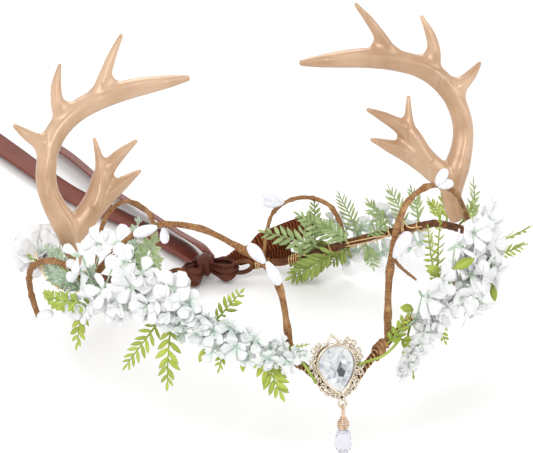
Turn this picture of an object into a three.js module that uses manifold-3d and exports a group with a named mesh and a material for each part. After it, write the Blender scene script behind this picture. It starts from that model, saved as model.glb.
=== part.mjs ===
// Antler crown: a wrapped wire circlet with gold antlers, blossoms, ferns and a drop at the brow.
// Millimetres. X points to the right as seen from in front, the brow faces -Y and Z is up.
// The origin is the centre of the head opening at the level of the circlet's sides.
import * as THREE from 'three';
import { mergeVertices } from 'three/addons/utils/BufferGeometryUtils.js';
import Module from 'manifold-3d';

const wasm = await Module();
wasm.setup();

// Circlet
const BAND_HALF_WIDTH = 86;
const BAND_HALF_DEPTH = 92;
const BAND_CENTRE_Y = -4;
const BAND_RADIUS = 2.5;
const BAND_END_ANGLE = 167;
const BAND_STEPS = 52;
const EYELET_RADIUS = 4.2;
const EYELET_WIRE = 1.3;

// Everything that touches keeps this gap
const GAP = 0.35;

// Jewel at the brow
const STONE_WIDTH = 13.6;
const STONE_HEIGHT = 19;
const STONE_POINT = 0.75;
const STONE_CROWN = 2.4;
const STONE_PAVILION = 2.6;
const JEWEL_CENTRE = new THREE.Vector3(-2, -99.1, -14);
const JEWEL_LEAN = 18;
const JEWEL_ROLL = 4;
const BEZEL_WALL = 1.5;
const BEZEL_DEPTH = 3.4;
const LOOP_DROP = 14.6;
const LOOP_RADIUS = 1.6;
const LOOP_WIRE = 0.5;

// Hanging drop
const EYE_RADIUS = 1.4;
const EYE_WIRE = 0.4;
const EYE_SAG = 0.3;
const DROP_STEM = 5;
const DROP_CONE = 5.4;
const CRYSTAL_WIDTH = 7.4;
const CRYSTAL_LENGTH = 11;

// Ribbon
const RIBBON_THICKNESS = 1;
const LONG_TAIL_WIDTH = 13;
const SHORT_TAIL_WIDTH = 10;
const STRIP_WIDTH = 10;
const RIBBON_FLOOR = -60;

// Colours from the photograph
const COLOURS = {
  bark: { color: 0x6e3c23, roughness: 0.75, metalness: 0 },
  twig: { color: 0x9c6c38, roughness: 0.8, metalness: 0 },
  antler: { color: 0xc8a06e, roughness: 0.38, metalness: 0.55 },
  blossom: { color: 0xf2f5ee, roughness: 0.6, metalness: 0 },
  floret: { color: 0xdfeee0, roughness: 0.6, metalness: 0 },
  fern: { color: 0x8fae4a, roughness: 0.65, metalness: 0 },
  sage: { color: 0x7c9660, roughness: 0.65, metalness: 0 },
  bud: { color: 0xf3f1f6, roughness: 0.55, metalness: 0 },
  gold: { color: 0xc8a57d, roughness: 0.32, metalness: 0.9 },
  stone: { color: 0xe8edf4, roughness: 0.05, metalness: 0 },
  crystal: { color: 0xdcd8ec, roughness: 0.08, metalness: 0 },
  ribbon: { color: 0x6b4038, roughness: 0.45, metalness: 0 },
};

const rad = THREE.MathUtils.degToRad;
const lerp = THREE.MathUtils.lerp;

// Height of the circlet at each angle from the brow, the same on both sides
const BAND_HEIGHTS = [
  // angle, z
  [0, -28], [4, -24], [7, -17.5], [11, -11.5], [16, -6.5], [22, -2], [35, 2], [48, 3.5],
  [60, 1.5], [75, -1.5], [90, -7], [109, -16], [120, -25], [133, -35], [147, -46], [158, -52.5], [180, -57],
];

function bandHeight(angle) {
  const a = Math.min(Math.abs(angle), 180);
  const next = BAND_HEIGHTS.findIndex((row) => row[0] >= a && row[0] > 0);
  const [a0, z0] = BAND_HEIGHTS[next - 1];
  const [a1, z1] = BAND_HEIGHTS[next];
  return lerp(z0, z1, (a - a0) / (a1 - a0));
}

// A place near the circlet: angle from the brow, millimetres outward, and height
function nearBand(angle, out, z) {
  const x = (BAND_HALF_WIDTH + out) * Math.sin(rad(angle));
  const y = BAND_CENTRE_Y - (BAND_HALF_DEPTH + out) * Math.cos(rad(angle));
  return new THREE.Vector3(x, y, z);
}

function outward(angle) {
  const a = nearBand(angle, 0, 0);
  return nearBand(angle, 1, 0).sub(a).normalize();
}

// Solids
function solid(geometry) {
  const bare = geometry.clone();
  for (const name of Object.keys(bare.attributes)) {
    if (name !== 'position') bare.deleteAttribute(name);
  }
  const merged = mergeVertices(bare, 1e-4);
  const triVerts = Uint32Array.from(merged.index.array);
  const vertProperties = Float32Array.from(merged.attributes.position.array);
  if (signedVolume(vertProperties, triVerts) < 0) {
    for (let i = 0; i < triVerts.length; i += 3) {
      [triVerts[i], triVerts[i + 1]] = [triVerts[i + 1], triVerts[i]];
    }
  }
  return new wasm.Manifold(new wasm.Mesh({ numProp: 3, vertProperties, triVerts }));
}

function signedVolume(p, tris) {
  const [a, b, c] = [new THREE.Vector3(), new THREE.Vector3(), new THREE.Vector3()];
  let sum = 0;
  for (let i = 0; i < tris.length; i += 3) {
    a.fromArray(p, 3 * tris[i]);
    b.fromArray(p, 3 * tris[i + 1]);
    c.fromArray(p, 3 * tris[i + 2]);
    sum += a.dot(b.cross(c)) / 6;
  }
  return sum;
}

function union(solids) {
  return wasm.Manifold.union(solids);
}

function toGeometry(body) {
  const mesh = body.getMesh();
  const geometry = new THREE.BufferGeometry();
  const position = new Float32Array(mesh.numVert * 3);
  for (let i = 0; i < mesh.numVert; i++) {
    for (let k = 0; k < 3; k++) position[3 * i + k] = mesh.vertProperties[i * mesh.numProp + k];
  }
  geometry.setAttribute('position', new THREE.BufferAttribute(position, 3));
  geometry.setIndex(new THREE.BufferAttribute(Uint32Array.from(mesh.triVerts), 1));
  geometry.computeVertexNormals();
  return geometry;
}

const crown = new THREE.Group();

function add(name, body, colour) {
  const material = new THREE.MeshStandardMaterial(COLOURS[colour]);
  const mesh = new THREE.Mesh(toGeometry(body), material);
  mesh.name = name;
  crown.add(mesh);
}

// A round rod through stations of place and radius, its end faces drawn in to the share `round`
function rod(stations, { sides = 6, steps = 12, round = 0.6 } = {}) {
  const path = new THREE.CatmullRomCurve3(stations.map((s) => s.at), false, 'centripetal');
  const count = stations.length - 1;
  const radiusAt = (t) => {
    const i = Math.min(Math.floor(t * count), count - 1);
    return lerp(stations[i].radius, stations[i + 1].radius, t * count - i);
  };
  const rings = [];
  let normal = null;
  for (let row = 0; row <= steps; row++) {
    const t = row / steps;
    const tangent = path.getTangent(t);
    const guess = normal ?? new THREE.Vector3(0.3, 0.5, 0.8);
    normal = guess.clone().addScaledVector(tangent, -guess.dot(tangent)).normalize();
    const end = row === 0 || row === steps;
    const side = tangent.clone().cross(normal);
    rings.push({ at: path.getPoint(t), normal, side, radius: radiusAt(t) * (end ? round : 1) });
  }
  const geometry = new THREE.CylinderGeometry(1, 1, 1, sides, steps);
  const position = geometry.attributes.position;
  for (let i = 0; i < position.count; i++) {
    const ring = rings[Math.round((0.5 - position.getY(i)) * steps)];
    const point = ring.at.clone();
    point.addScaledVector(ring.normal, ring.radius * position.getX(i));
    point.addScaledVector(ring.side, ring.radius * position.getZ(i));
    position.setXYZ(i, point.x, point.y, point.z);
  }
  return solid(geometry);
}

function stations(rows) {
  return rows.map(([x, y, z, radius]) => ({ at: new THREE.Vector3(x, y, z), radius }));
}

function ring(centre, axis, radius, wire, sides = 10, wireSides = 5) {
  const geometry = new THREE.TorusGeometry(radius, wire, wireSides, sides);
  const turn = new THREE.Quaternion().setFromUnitVectors(new THREE.Vector3(0, 0, 1), axis);
  geometry.applyQuaternion(turn);
  geometry.translate(centre.x, centre.y, centre.z);
  return solid(geometry);
}

function mirrored(body) {
  return body.mirror([1, 0, 0]);
}

// Circlet: one wrapped wire from eyelet to eyelet
function circlet() {
  const rows = [];
  for (let i = 0; i <= BAND_STEPS; i++) {
    const share = (2 * i) / BAND_STEPS - 1;
    const angle = BAND_END_ANGLE * Math.sign(share) * Math.abs(share) ** 1.25;
    rows.push({ at: nearBand(angle, 0, bandHeight(angle)), radius: BAND_RADIUS });
  }
  const wire = rod(rows, { sides: 6, steps: BAND_STEPS, round: 0.8 });
  const eyelets = [-1, 1].map((hand) => ring(
    eyeletCentre(hand), outward(180), EYELET_RADIUS, EYELET_WIRE, 10, 5));
  return union([wire, ...eyelets]);
}

function eyeletCentre(hand) {
  const centre = nearBand(hand * BAND_END_ANGLE, 0, bandHeight(BAND_END_ANGLE));
  centre.x -= hand * (EYELET_RADIUS + 0.6);
  return centre;
}

// Antlers: right-hand rows, and the left is the mirror image
const BEAM = [
  // x, y, z, radius
  [85.2, 7.2, -6.9, 3.2], [83.4, 9.2, 0, 3.6], [84, 11.2, 8, 5.2], [86.6, 13, 15, 5.6],
  [89.2, 15.6, 20, 4.9], [91.2, 18.4, 25.6, 4.5], [91.8, 20.8, 31, 4.4], [91, 23, 36.5, 4.4],
  [89.4, 26, 41.8, 4.6], [85.6, 29, 47.6, 4.7], [81, 30.8, 52, 4.7], [75.4, 32.2, 55.4, 4.6],
  [68, 33.8, 58, 4.6], [60, 34, 60.2, 4.3], [52, 34.4, 61.2, 3.8], [43, 35, 61.8, 3.2],
  [33, 35.4, 62.2, 2.5], [23, 35.6, 62.5, 1.5],
];
const BRANCHES = [
  { steps: 6, rows: [[66, 33.6, 58.5, 3.4], [62, 36, 66, 3.8], [57, 40, 75, 2.7], [51.2, 44, 83.3, 0.9]] },
  { steps: 5, rows: [
    [81, 31, 52.5, 3.8], [82.4, 33, 60, 3.7], [82, 36.5, 67, 2.6], [79.2, 40.6, 75.2, 0.9]] },
  { steps: 5, rows: [
    [88.4, 26, 42, 4.2], [92.6, 26.8, 46, 3.9], [98, 28.4, 50, 2.5], [104, 31.2, 54.6, 0.8]] },
  { steps: 7, rows: [[84, 12, 11, 5], [78, 13.4, 15.2, 5.2], [72.4, 14.8, 20.6, 5], [69, 18, 29, 4.2],
    [67.8, 21.6, 36.4, 3], [69.3, 25.6, 45.8, 1]] },
  { steps: 5, rows: [[69, 18, 29, 3.2], [64, 20.8, 34, 3.2], [58, 23.2, 38, 2.3], [50, 25.2, 42.4, 1]] },
  { steps: 5, rows: [
    [73.5, 14.2, 18, 3.6], [66.5, 16, 22.8, 3.6], [59, 18.2, 26.6, 2.6], [50, 20, 30.8, 1]] },
];

function antler() {
  const beam = rod(stations(BEAM), { sides: 9, steps: 19, round: 0.5 });
  const branches = BRANCHES.map(({ steps, rows }) => rod(stations(rows), { sides: 6, steps, round: 0.5 }));
  return union([beam, ...branches]);
}

// Twigs: wrapped wires that arch from the circlet
const TWIGS = {
  twig_front_left: { radius: 1.6, steps: 18, rows: [
    // angle, out, z
    [-14, 0, -5], [-14.8, -1, 8], [-17, -1, 24], [-21, -1, 34], [-27, -1, 40], [-39, -1, 47],
    [-51, -1.5, 44.5], [-60, -2.5, 36.5], [-71, -3.5, 21.5], [-78.5, -4, 9], [-83, -1.2, -1.4]] },
  twig_front_right: { radius: 1.6, steps: 18, rows: [
    [13.8, 0, -5.2], [14.4, -1, 8], [16, -1, 25], [18.6, -1, 44], [22.5, -1, 53.5], [29, -1, 56.5],
    [37, -1.5, 52.5], [47, -2.5, 42], [58, -3.4, 24], [66, -1.2, 3.2]] },
  twig_spur: { radius: 1.1, steps: 5, rows: [
    [16.9, 1.8, 31], [18.4, 2.6, 26.5], [21, 3, 21.5], [24, 3, 17.5]] },
  twig_back_right: { radius: 1.3, steps: 14, rows: [
    [164, 0, -50.8], [163, 0, -38], [161, 0, -29], [156, 0, -23], [150, 0, -21.5], [144.5, 0, -25],
    [140, 0, -37.4]] },
  twig_back_left: { radius: 1.3, steps: 14, rows: [
    [-164, 0, -50.8], [-163.6, 0, -38], [-162, 0, -24], [-157, 0, -15.5], [-150, 0, -11.5], [-143, 0, -16],
    [-138, 0, -35.8]] },
  twig_loop: { radius: 1.5, steps: 14, rows: [
    [-78.8, 0.6, 0.2], [-81.5, 5, 6.5], [-87, 12, 8.5], [-94, 17, 1], [-97.5, 17.5, -8], [-97.6, 16.5, -16],
    [-94, 15, -23]] },
};

function twig({ radius, steps, rows }) {
  return rod(rows.map(([angle, out, z]) => ({ at: nearBand(angle, out, z), radius })), { sides: 5, steps });
}

// Buds: teardrops that point along a heading
const BUD_PROFILE = [
  // share of length, share of radius
  [0, 0], [0.06, 0.4], [0.3, 0.8], [0.6, 1], [0.86, 0.72], [1, 0],
];
const BUDS = {
  // base angle, out, z, then tip angle, out, z, and radius
  bud_arch_left_upper: [-20.8, 1.6, 36.6, -25.2, 1.8, 44.6, 2.3],
  bud_arch_left_lower: [-20, 1.6, 35.2, -17, 3.4, 27, 2.2],
  bud_far_left_upper: [-52, 1.4, 43.6, -58.9, 3, 37.7, 2.3],
  bud_far_left_lower: [-50, 0.4, 43.6, -48.6, 3, 38.4, 1.8],
  bud_arch_right_upper: [32.6, 0.4, 57, 37, 1.5, 61.5, 2.1],
  bud_arch_right_lower: [34, 1.4, 54.4, 38.2, 3.6, 50.8, 1.9],
  bud_spur: [17.2, 2, 33.4, 20.8, 4, 44.4, 2.6],
  bud_back_right: [158.4, 0, -22.9, 164.4, 0, -21, 2.1],
  bud_loop: [-93.3, 14.9, -22.9, -86, 13.6, -15, 2.2],
};

function bud([angle0, out0, z0, angle1, out1, z1, radius]) {
  const base = nearBand(angle0, out0, z0);
  const heading = nearBand(angle1, out1, z1).sub(base);
  const profile = BUD_PROFILE.map(([s, r]) => new THREE.Vector2(r * radius, s * heading.length()));
  const geometry = new THREE.LatheGeometry(profile, 7);
  const turn = new THREE.Quaternion().setFromUnitVectors(new THREE.Vector3(0, 1, 0), heading.normalize());
  geometry.applyQuaternion(turn);
  geometry.translate(base.x, base.y, base.z);
  return solid(geometry);
}

// Blossoms: cupped discs with petal lobes, on stalks from a stem that follows the circlet
const BLOSSOM_CUP = 0.35;
const PETAL_NOTCH = 0.62;
const PETAL_REACH = 1.18;
const BLOSSOM_THICKNESS = 1.6;
const STALK_RADIUS = 0.8;
const STEM_RADIUS = 1;
const SPRAYS = {
  blossoms_left_back: { colour: 'blossom', stem: [-100, -66], rows: [
    // angle, out, z, radius, tilt up, petals
    [-104, 12, 2.5, 9.5, 15, 5], [-75, 7, 25, 7.5, 35, 4], [-86, 8, 16, 7, 30, 4],
    [-77, 10, -2.5, 6.5, -20, 4], [-69, 9, 11, 6.8, 10, 4]] },
  blossoms_left: { colour: 'blossom', stem: [-64, -38], rows: [
    [-61, 6, 24.5, 7.2, 30, 4], [-60, 10.5, 8, 7.2, 0, 4], [-53.5, 8.5, 18, 7.5, 15, 4],
    [-44, 9, 18.5, 9, 20, 4], [-51, 11, 4, 7, -15, 4], [-40, 10, 8, 6.2, 0, 4]] },
  blossoms_brow_left: { colour: 'floret', stem: [-36, -13], rows: [
    [-34.5, 10.5, 2.5, 6, 0, 4], [-29, 9.5, 8.5, 5.5, 20, 4], [-28, 11, -2.5, 6, -20, 4],
    [-23, 9, 4, 5.5, 10, 4], [-20, 10, -5, 5.4, -10, 4], [-14.6, 8.4, -7, 5.2, 5, 4]] },
  blossoms_right: { colour: 'blossom', stem: [36, 70], rows: [
    [44.5, 7, 24, 7.5, 30, 4], [56, 10, 10.5, 7.5, 5, 4], [57, 7, 28, 7.5, 35, 4], [43, 11, 7, 8, 5, 4],
    [36.5, 10.5, -1, 6.5, -10, 4], [49, 12.5, -3.5, 7, -15, 4], [66, 9, 18, 6.5, 20, 4],
    [50.5, 9.5, 18.5, 6.5, 15, 4]] },
  blossoms_brow_right: { colour: 'blossom', stem: [15.5, 33], rows: [
    [27, 8.5, 12, 9, 15, 4], [33.5, 8.5, 11, 6, 10, 4], [24, 10, 0, 5.5, 0, 4], [19.4, 9.5, -4.5, 5, -5, 4],
    [17.2, 11, -14, 4.6, -15, 4], [15.6, 12.5, -23.5, 4.4, -20, 4]] },
  blossoms_back: { colour: 'blossom', stem: [144, 116], rows: [
    [130.5, 6.5, -24, 6.5, 45, 4], [141, 8.5, -49, 6.5, -10, 4], [143.5, 6.5, -32, 5, 30, 4],
    [131.5, 9, -46.5, 6, -10, 4], [120, 8.5, -36, 6, -5, 4]] },
};

function blossom([angle, out, z, radius, tilt, petals], stemPoint) {
  const sides = petals * 3;
  const geometry = new THREE.CylinderGeometry(1, 1, 1, sides, 1, false, Math.PI / sides);
  const position = geometry.attributes.position;
  for (let i = 0; i < position.count; i++) {
    const [x, y, z0] = [position.getX(i), position.getY(i), position.getZ(i)];
    const spread = Math.hypot(x, z0);
    const lobe = lerp(PETAL_NOTCH, PETAL_REACH, Math.cos((petals * Math.atan2(x, z0)) / 2) ** 2);
    const reach = radius * lobe * spread;
    const lift = BLOSSOM_CUP * radius * (reach / radius) ** 2 + y * BLOSSOM_THICKNESS;
    const scale = spread > 0 ? reach / spread : 0;
    position.setXYZ(i, x * scale, lift, z0 * scale);
  }
  const facing = outward(angle).multiplyScalar(Math.cos(rad(tilt)));
  facing.z = Math.sin(rad(tilt));
  const centre = nearBand(angle, out, z);
  geometry.applyQuaternion(new THREE.Quaternion().setFromUnitVectors(new THREE.Vector3(0, 1, 0), facing));
  geometry.translate(centre.x, centre.y, centre.z);
  const towardsStem = stemPoint.clone().sub(centre);
  towardsStem.addScaledVector(facing, -towardsStem.dot(facing)).normalize();
  const heel = centre.clone().addScaledVector(towardsStem, 0.3 * radius).addScaledVector(facing, 0.3);
  const stalkEnds = [stemPoint, heel].map((at) => ({ at, radius: STALK_RADIUS }));
  const stalk = rod(stalkEnds, { sides: 3, steps: 1, round: 1 });
  return union([solid(geometry), stalk]);
}

function spray({ stem, rows }) {
  const [from, to] = stem;
  const clear = BAND_RADIUS + GAP + 1.1;
  const along = (angle) => nearBand(angle, clear * 0.96, bandHeight(angle) + clear * 0.28);
  const line = [];
  const count = Math.max(4, Math.round(Math.abs(to - from) / 5));
  for (let i = 0; i <= count; i++) {
    line.push({ at: along(lerp(from, to, i / count)), radius: STEM_RADIUS });
  }
  const flowers = rows.map((row) => {
    const nearest = THREE.MathUtils.clamp(row[0], Math.min(from, to), Math.max(from, to));
    return blossom(row, along(nearest));
  });
  return union([rod(line, { sides: 4, steps: count }), ...flowers]);
}

// Ferns: flat fronds with paired leaflets, seated beside the circlet
const FROND_THICKNESS = 1;
const SEAT = BAND_RADIUS + GAP;
const FERNS = {
  // angle on the circlet, side of the wire it springs from (0 out, 90 up), distance from the wire's middle,
  // then tip angle, out, z, half width, leaflet pairs, sag, colour
  fern_brow_left: [-20.5, -60, SEAT + 0.8, -18, 9, -22, 5, 5, 1, 'fern'],
  fern_low_left: [-47.6, -70, SEAT + 0.3, -45.4, 8.5, -22, 5, 6, 1, 'fern'],
  fern_low_far_left: [-51.6, -70, SEAT + 0.4, -57.5, 10, -18.5, 5, 6, 1, 'fern'],
  fern_high_left: [-34, 90, SEAT, -25.4, 6, 24, 4.5, 5, -1, 'fern'],
  fern_side_left: [-72, -65, SEAT + 1.3, -91, 12, -13.6, 4.6, 6, 1, 'fern'],
  fern_tail_left: [-80, -90, SEAT, -76, 5, -24, 3.6, 4, 1, 'fern'],
  leaf_left: [-60, 100, SEAT, -54, -5.5, 31, 6, 3, 1, 'sage'],
  leaf_antler_left: [-89.4, 17, 5.8, -97, 9.4, 4.6, 5, 3, -1, 'sage'],
  fern_back_low: [148, -40, SEAT + 0.8, 157, 6.5, -57, 4.5, 6, 1, 'sage'],
  fern_back_high: [147, 125, SEAT + 1, 164, -3.6, -37, 4.6, 6, 1, 'sage'],
  fern_back_tip: [153.5, 180, SEAT + 0.3, 150, -9, -25, 4.2, 6, -1.5, 'sage'],
  fern_back_side: [137, 60, SEAT, 143, 3.4, -20.5, 4.6, 5, 1, 'sage'],
  fern_back_right: [121, 90, SEAT, 127, 1, -10.5, 4.2, 4, 1, 'sage'],
  fern_front_right: [34.5, 120, SEAT, 23.4, 3.4, 47, 4.8, 8, -1, 'fern'],
  fern_side_right: [88, 70, SEAT, 90, 2.4, 16, 4, 5, 1, 'fern'],
  fern_out_right: [74, 10, SEAT + 0.2, 68, 21, 13, 5, 6, 2, 'fern'],
  fern_brow_right: [17.8, -40, SEAT, 21, 9.5, -9.6, 3, 4, 1, 'fern'],
};

function frond([angle0, side, reach, angle1, out1, z1, width, pairs, sag]) {
  const height = bandHeight(angle0) + reach * Math.sin(rad(side));
  const base = nearBand(angle0, reach * Math.cos(rad(side)), height);
  const along = nearBand(angle1, out1, z1).sub(base);
  const length = along.length();
  along.normalize();
  const face = outward((angle0 + angle1) / 2);
  face.addScaledVector(along, -face.dot(along)).normalize();
  const across = face.clone().cross(along);
  const outline = [new THREE.Vector2(0, 0.9)];
  const pitch = length / (pairs + 0.6);
  for (let i = 0; i < pairs; i++) {
    const share = (i + 0.5) / pairs;
    const reach = width * Math.sin(Math.PI * (0.18 + 0.74 * share));
    outline.push(new THREE.Vector2((i + 0.95) * pitch, reach));
    outline.push(new THREE.Vector2((i + 1) * pitch, 0.9));
  }
  const lower = outline.map((p) => new THREE.Vector2(p.x, -p.y)).reverse();
  const shape = new THREE.Shape([...outline, new THREE.Vector2(length, 0), ...lower]);
  const geometry = new THREE.ExtrudeGeometry(shape, { depth: FROND_THICKNESS, bevelEnabled: false });
  const position = geometry.attributes.position;
  for (let i = 0; i < position.count; i++) {
    const [s, w, d] = [position.getX(i), position.getY(i), position.getZ(i)];
    const bend = sag * 4 * (s / length) * (1 - s / length) + d - FROND_THICKNESS / 2;
    const point = base.clone().addScaledVector(along, s);
    point.addScaledVector(across, w).addScaledVector(face, bend);
    position.setXYZ(i, point.x, point.y, point.z);
  }
  return solid(geometry);
}

// Jewel: a pear outline with its point down, in its own frame (X right, Y up, Z to the front)
function pear(share, count = 20) {
  const points = [];
  for (let i = 0; i < count; i++) {
    const t = (2 * Math.PI * i) / count;
    const x = 0.66 * STONE_WIDTH * Math.sin(t) * Math.abs(Math.sin(t / 2)) ** STONE_POINT;
    const y = -0.5 * STONE_HEIGHT * Math.cos(t);
    points.push(new THREE.Vector2(x, y));
  }
  return points.map((p) => p.multiplyScalar(share));
}

function pearOffset(offset, count = 20) {
  const points = pear(1, count);
  return points.map((p, i) => {
    const before = points[(i + count - 1) % count];
    const after = points[(i + 1) % count];
    const normal = new THREE.Vector2(after.y - before.y, before.x - after.x).normalize();
    return p.clone().addScaledVector(normal, offset);
  });
}

function plate(outer, inner, from, to) {
  const shape = new THREE.Shape(outer);
  shape.holes.push(new THREE.Path(inner));
  const geometry = new THREE.ExtrudeGeometry(shape, { depth: to - from, bevelEnabled: false });
  geometry.translate(0, 0, from);
  return solid(geometry);
}

const jewelTurn = new THREE.Matrix4().makeRotationX(rad(90 - JEWEL_LEAN));
jewelTurn.premultiply(new THREE.Matrix4().makeRotationY(rad(-JEWEL_ROLL)));
jewelTurn.setPosition(JEWEL_CENTRE);

function placeJewel(body) {
  return body.transform(jewelTurn.toArray());
}

const SCROLLS = [
  // share of the way from the point to the top, radius of the scroll
  [0.2, 1.5], [0.35, 1.8], [0.5, 2.1], [0.65, 2.3], [0.8, 2.2],
];
const SCROLL_WIRE = 0.6;
const FINIAL_HEIGHT = 14.4;

function setting() {
  const flat = new THREE.Vector3(0, 0, 1);
  const pieces = [
    plate(pearOffset(BEZEL_WALL), pearOffset(GAP), -BEZEL_DEPTH / 2, BEZEL_DEPTH / 2 - 0.4),
  ];
  for (const [share, radius] of SCROLLS) {
    const outline = pearOffset(BEZEL_WALL + radius - 0.5, 40);
    const centre = outline[Math.round(share * 20)];
    for (const hand of [-1, 1]) {
      const at = new THREE.Vector3(hand * centre.x, centre.y, 0);
      pieces.push(ring(at, flat, radius - SCROLL_WIRE, SCROLL_WIRE, 7, 4));
    }
  }
  pieces.push(ring(new THREE.Vector3(0, -LOOP_DROP + 2.6, 0), flat, 1.1, SCROLL_WIRE, 8, 4));
  const finial = [[-3.2, 10.4], [-1.4, 11.8], [0, FINIAL_HEIGHT], [1.4, 11.8], [3.2, 10.4], [0, 10.6]];
  const shape = new THREE.Shape(finial.map(([x, y]) => new THREE.Vector2(x, y)));
  const crest = new THREE.ExtrudeGeometry(shape, { depth: 1.6, bevelEnabled: false });
  crest.translate(0, 0, -0.8);
  pieces.push(solid(crest));
  pieces.push(ring(new THREE.Vector3(0, -LOOP_DROP, 0), flat, LOOP_RADIUS, LOOP_WIRE, 10, 5));
  return placeJewel(union(pieces));
}

function pearStone() {
  const sides = 20;
  const rows = [
    // share of the outline, depth
    [0.58, STONE_CROWN], [1, 0.25], [1, -0.25], [0.16, -STONE_PAVILION],
  ];
  const outline = pear(1, sides);
  const geometry = new THREE.CylinderGeometry(1, 1, 1, sides, rows.length - 1);
  const position = geometry.attributes.position;
  for (let i = 0; i < position.count; i++) {
    const [share, depth] = rows[Math.round((0.5 - position.getY(i)) * (rows.length - 1))];
    const [x, z] = [position.getX(i), position.getZ(i)];
    const spread = Math.hypot(x, z) > 0.5 ? share : 0;
    const step = Math.round((Math.atan2(x, z) / (2 * Math.PI)) * sides + sides) % sides;
    const lift = 0.06 * STONE_HEIGHT * (1 - share);
    position.setXYZ(i, outline[step].x * spread, outline[step].y * spread + lift, depth);
  }
  return placeJewel(solid(geometry));
}

// Drop: an eye in the setting's loop, a twisted stem, a wound cone and a faceted briolette
const loopWire = new THREE.Vector3(0, -LOOP_DROP - LOOP_RADIUS, 0).applyMatrix4(jewelTurn);
const eyeCentre = loopWire.clone().add(new THREE.Vector3(0, 0, -EYE_SAG));
const stemTop = eyeCentre.z - EYE_RADIUS;

function hung(profile, sides) {
  const points = profile.map(([radius, z]) => new THREE.Vector2(radius, z));
  const geometry = new THREE.LatheGeometry(points, sides);
  geometry.rotateX(Math.PI / 2);
  geometry.translate(eyeCentre.x, eyeCentre.y, 0);
  return solid(geometry);
}

function dropWire() {
  const coneTop = stemTop - DROP_STEM;
  const coneEnd = coneTop - DROP_CONE;
  const stem = hung([
    [0, stemTop], [0.55, stemTop], [0.75, stemTop - 1.2], [0.55, stemTop - 2.4], [0.75, stemTop - 3.6],
    [0.6, coneTop], [1.3, coneTop - 0.6], [1.6, coneTop - 2], [2.2, coneEnd], [0, coneEnd]], 8);
  return union([ring(eyeCentre, new THREE.Vector3(1, 0, 0), EYE_RADIUS, EYE_WIRE, 10, 5), stem]);
}

function dropCrystal() {
  const top = stemTop - DROP_STEM - DROP_CONE - GAP;
  const half = CRYSTAL_WIDTH / 2;
  const profile = [
    // share of half width, share of length
    [0, 0], [0.42, 0], [0.7, 0.22], [0.94, 0.46], [1, 0.62], [0.84, 0.84], [0.4, 0.97], [0, 1],
  ];
  return hung(profile.map(([r, s]) => [r * half, top - s * CRYSTAL_LENGTH]), 10);
}

// Ribbon: a knot with a loop to each eyelet, two tails and a ribbed strip
const KNOT_CENTRE = new THREE.Vector3(-0.5, 91, -53.5);
const KNOT_SIZE = new THREE.Vector3(7.5, 5.5, 6);
const LOOP_ROLL_RADIUS = 1.3;

function strap(rows, { width, lean, gather = 1, steps = 14 }) {
  const places = rows.map((row) => new THREE.Vector3(...row));
  const path = new THREE.CatmullRomCurve3(places, false, 'centripetal');
  const geometry = new THREE.BoxGeometry(1, 1, 1, 1, 1, steps);
  const position = geometry.attributes.position;
  for (let i = 0; i < position.count; i++) {
    const [u, v, w] = [position.getX(i), position.getY(i), position.getZ(i)];
    const t = w + 0.5;
    const tangent = path.getTangent(t);
    const tilt = rad(lean);
    const side = new THREE.Vector3(0, 0, 1).cross(tangent).normalize();
    const across = side.multiplyScalar(Math.cos(tilt)).add(new THREE.Vector3(0, 0, Math.sin(tilt)));
    across.addScaledVector(tangent, -across.dot(tangent)).normalize();
    const face = tangent.clone().cross(across);
    const gathered = lerp(gather, 1, THREE.MathUtils.smoothstep(t, 0, 0.2));
    const point = path.getPoint(t).addScaledVector(across, u * width * gathered);
    point.addScaledVector(face, v * RIBBON_THICKNESS);
    position.setXYZ(i, point.x, point.y, point.z);
  }
  return solid(geometry);
}

function knot() {
  const lump = new THREE.IcosahedronGeometry(1, 1);
  lump.scale(KNOT_SIZE.x, KNOT_SIZE.y, KNOT_SIZE.z);
  lump.translate(KNOT_CENTRE.x, KNOT_CENTRE.y, KNOT_CENTRE.z);
  const loops = [-1, 1].map((hand) => {
    const hole = eyeletCentre(hand);
    const bend = [[-6, 3.2], [-0.5, 2.8], [0.4, 0], [-0.5, -2.8], [-6, -3.2]];
    const places = bend.map(([x, y]) => new THREE.Vector3(hole.x + hand * x, hole.y + y, hole.z));
    const root = KNOT_CENTRE.clone().add(new THREE.Vector3(hand * 4, 1, 0));
    const end = KNOT_CENTRE.clone().add(new THREE.Vector3(hand * 4, -1, 0));
    const rows = [root, ...places, end].map((at) => ({ at, radius: LOOP_ROLL_RADIUS }));
    return rod(rows, { sides: 5, steps: 8 });
  });
  return union([solid(lump), ...loops]);
}

const TAIL_Z = RIBBON_FLOOR + 1.6;
const TAIL_LONG = [
  // x, y, z
  [-1, 95.9, -57], [-2, 112, TAIL_Z + 0.4], [-6, 128, TAIL_Z], [-14, 147, TAIL_Z], [-22, 163, TAIL_Z],
  [-31, 184, TAIL_Z], [-38, 207, TAIL_Z], [-45, 234, TAIL_Z], [-55, 276, TAIL_Z],
];
const TAIL_SHORT = [
  [3, 95.9, -51.4], [2.4, 110, TAIL_Z + 5.4], [-1, 131, TAIL_Z + 3], [-8, 153, TAIL_Z + 3],
  [-12.5, 167, TAIL_Z + 3], [-17, 189, TAIL_Z + 3], [-22, 217, TAIL_Z + 3], [-26, 235, TAIL_Z + 3],
];
const STRIP = [
  // angle, out, z
  [166, 4, -48], [160, 4, -43.5], [155, 4, -39], [149.5, 4, -35.5],
];

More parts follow.
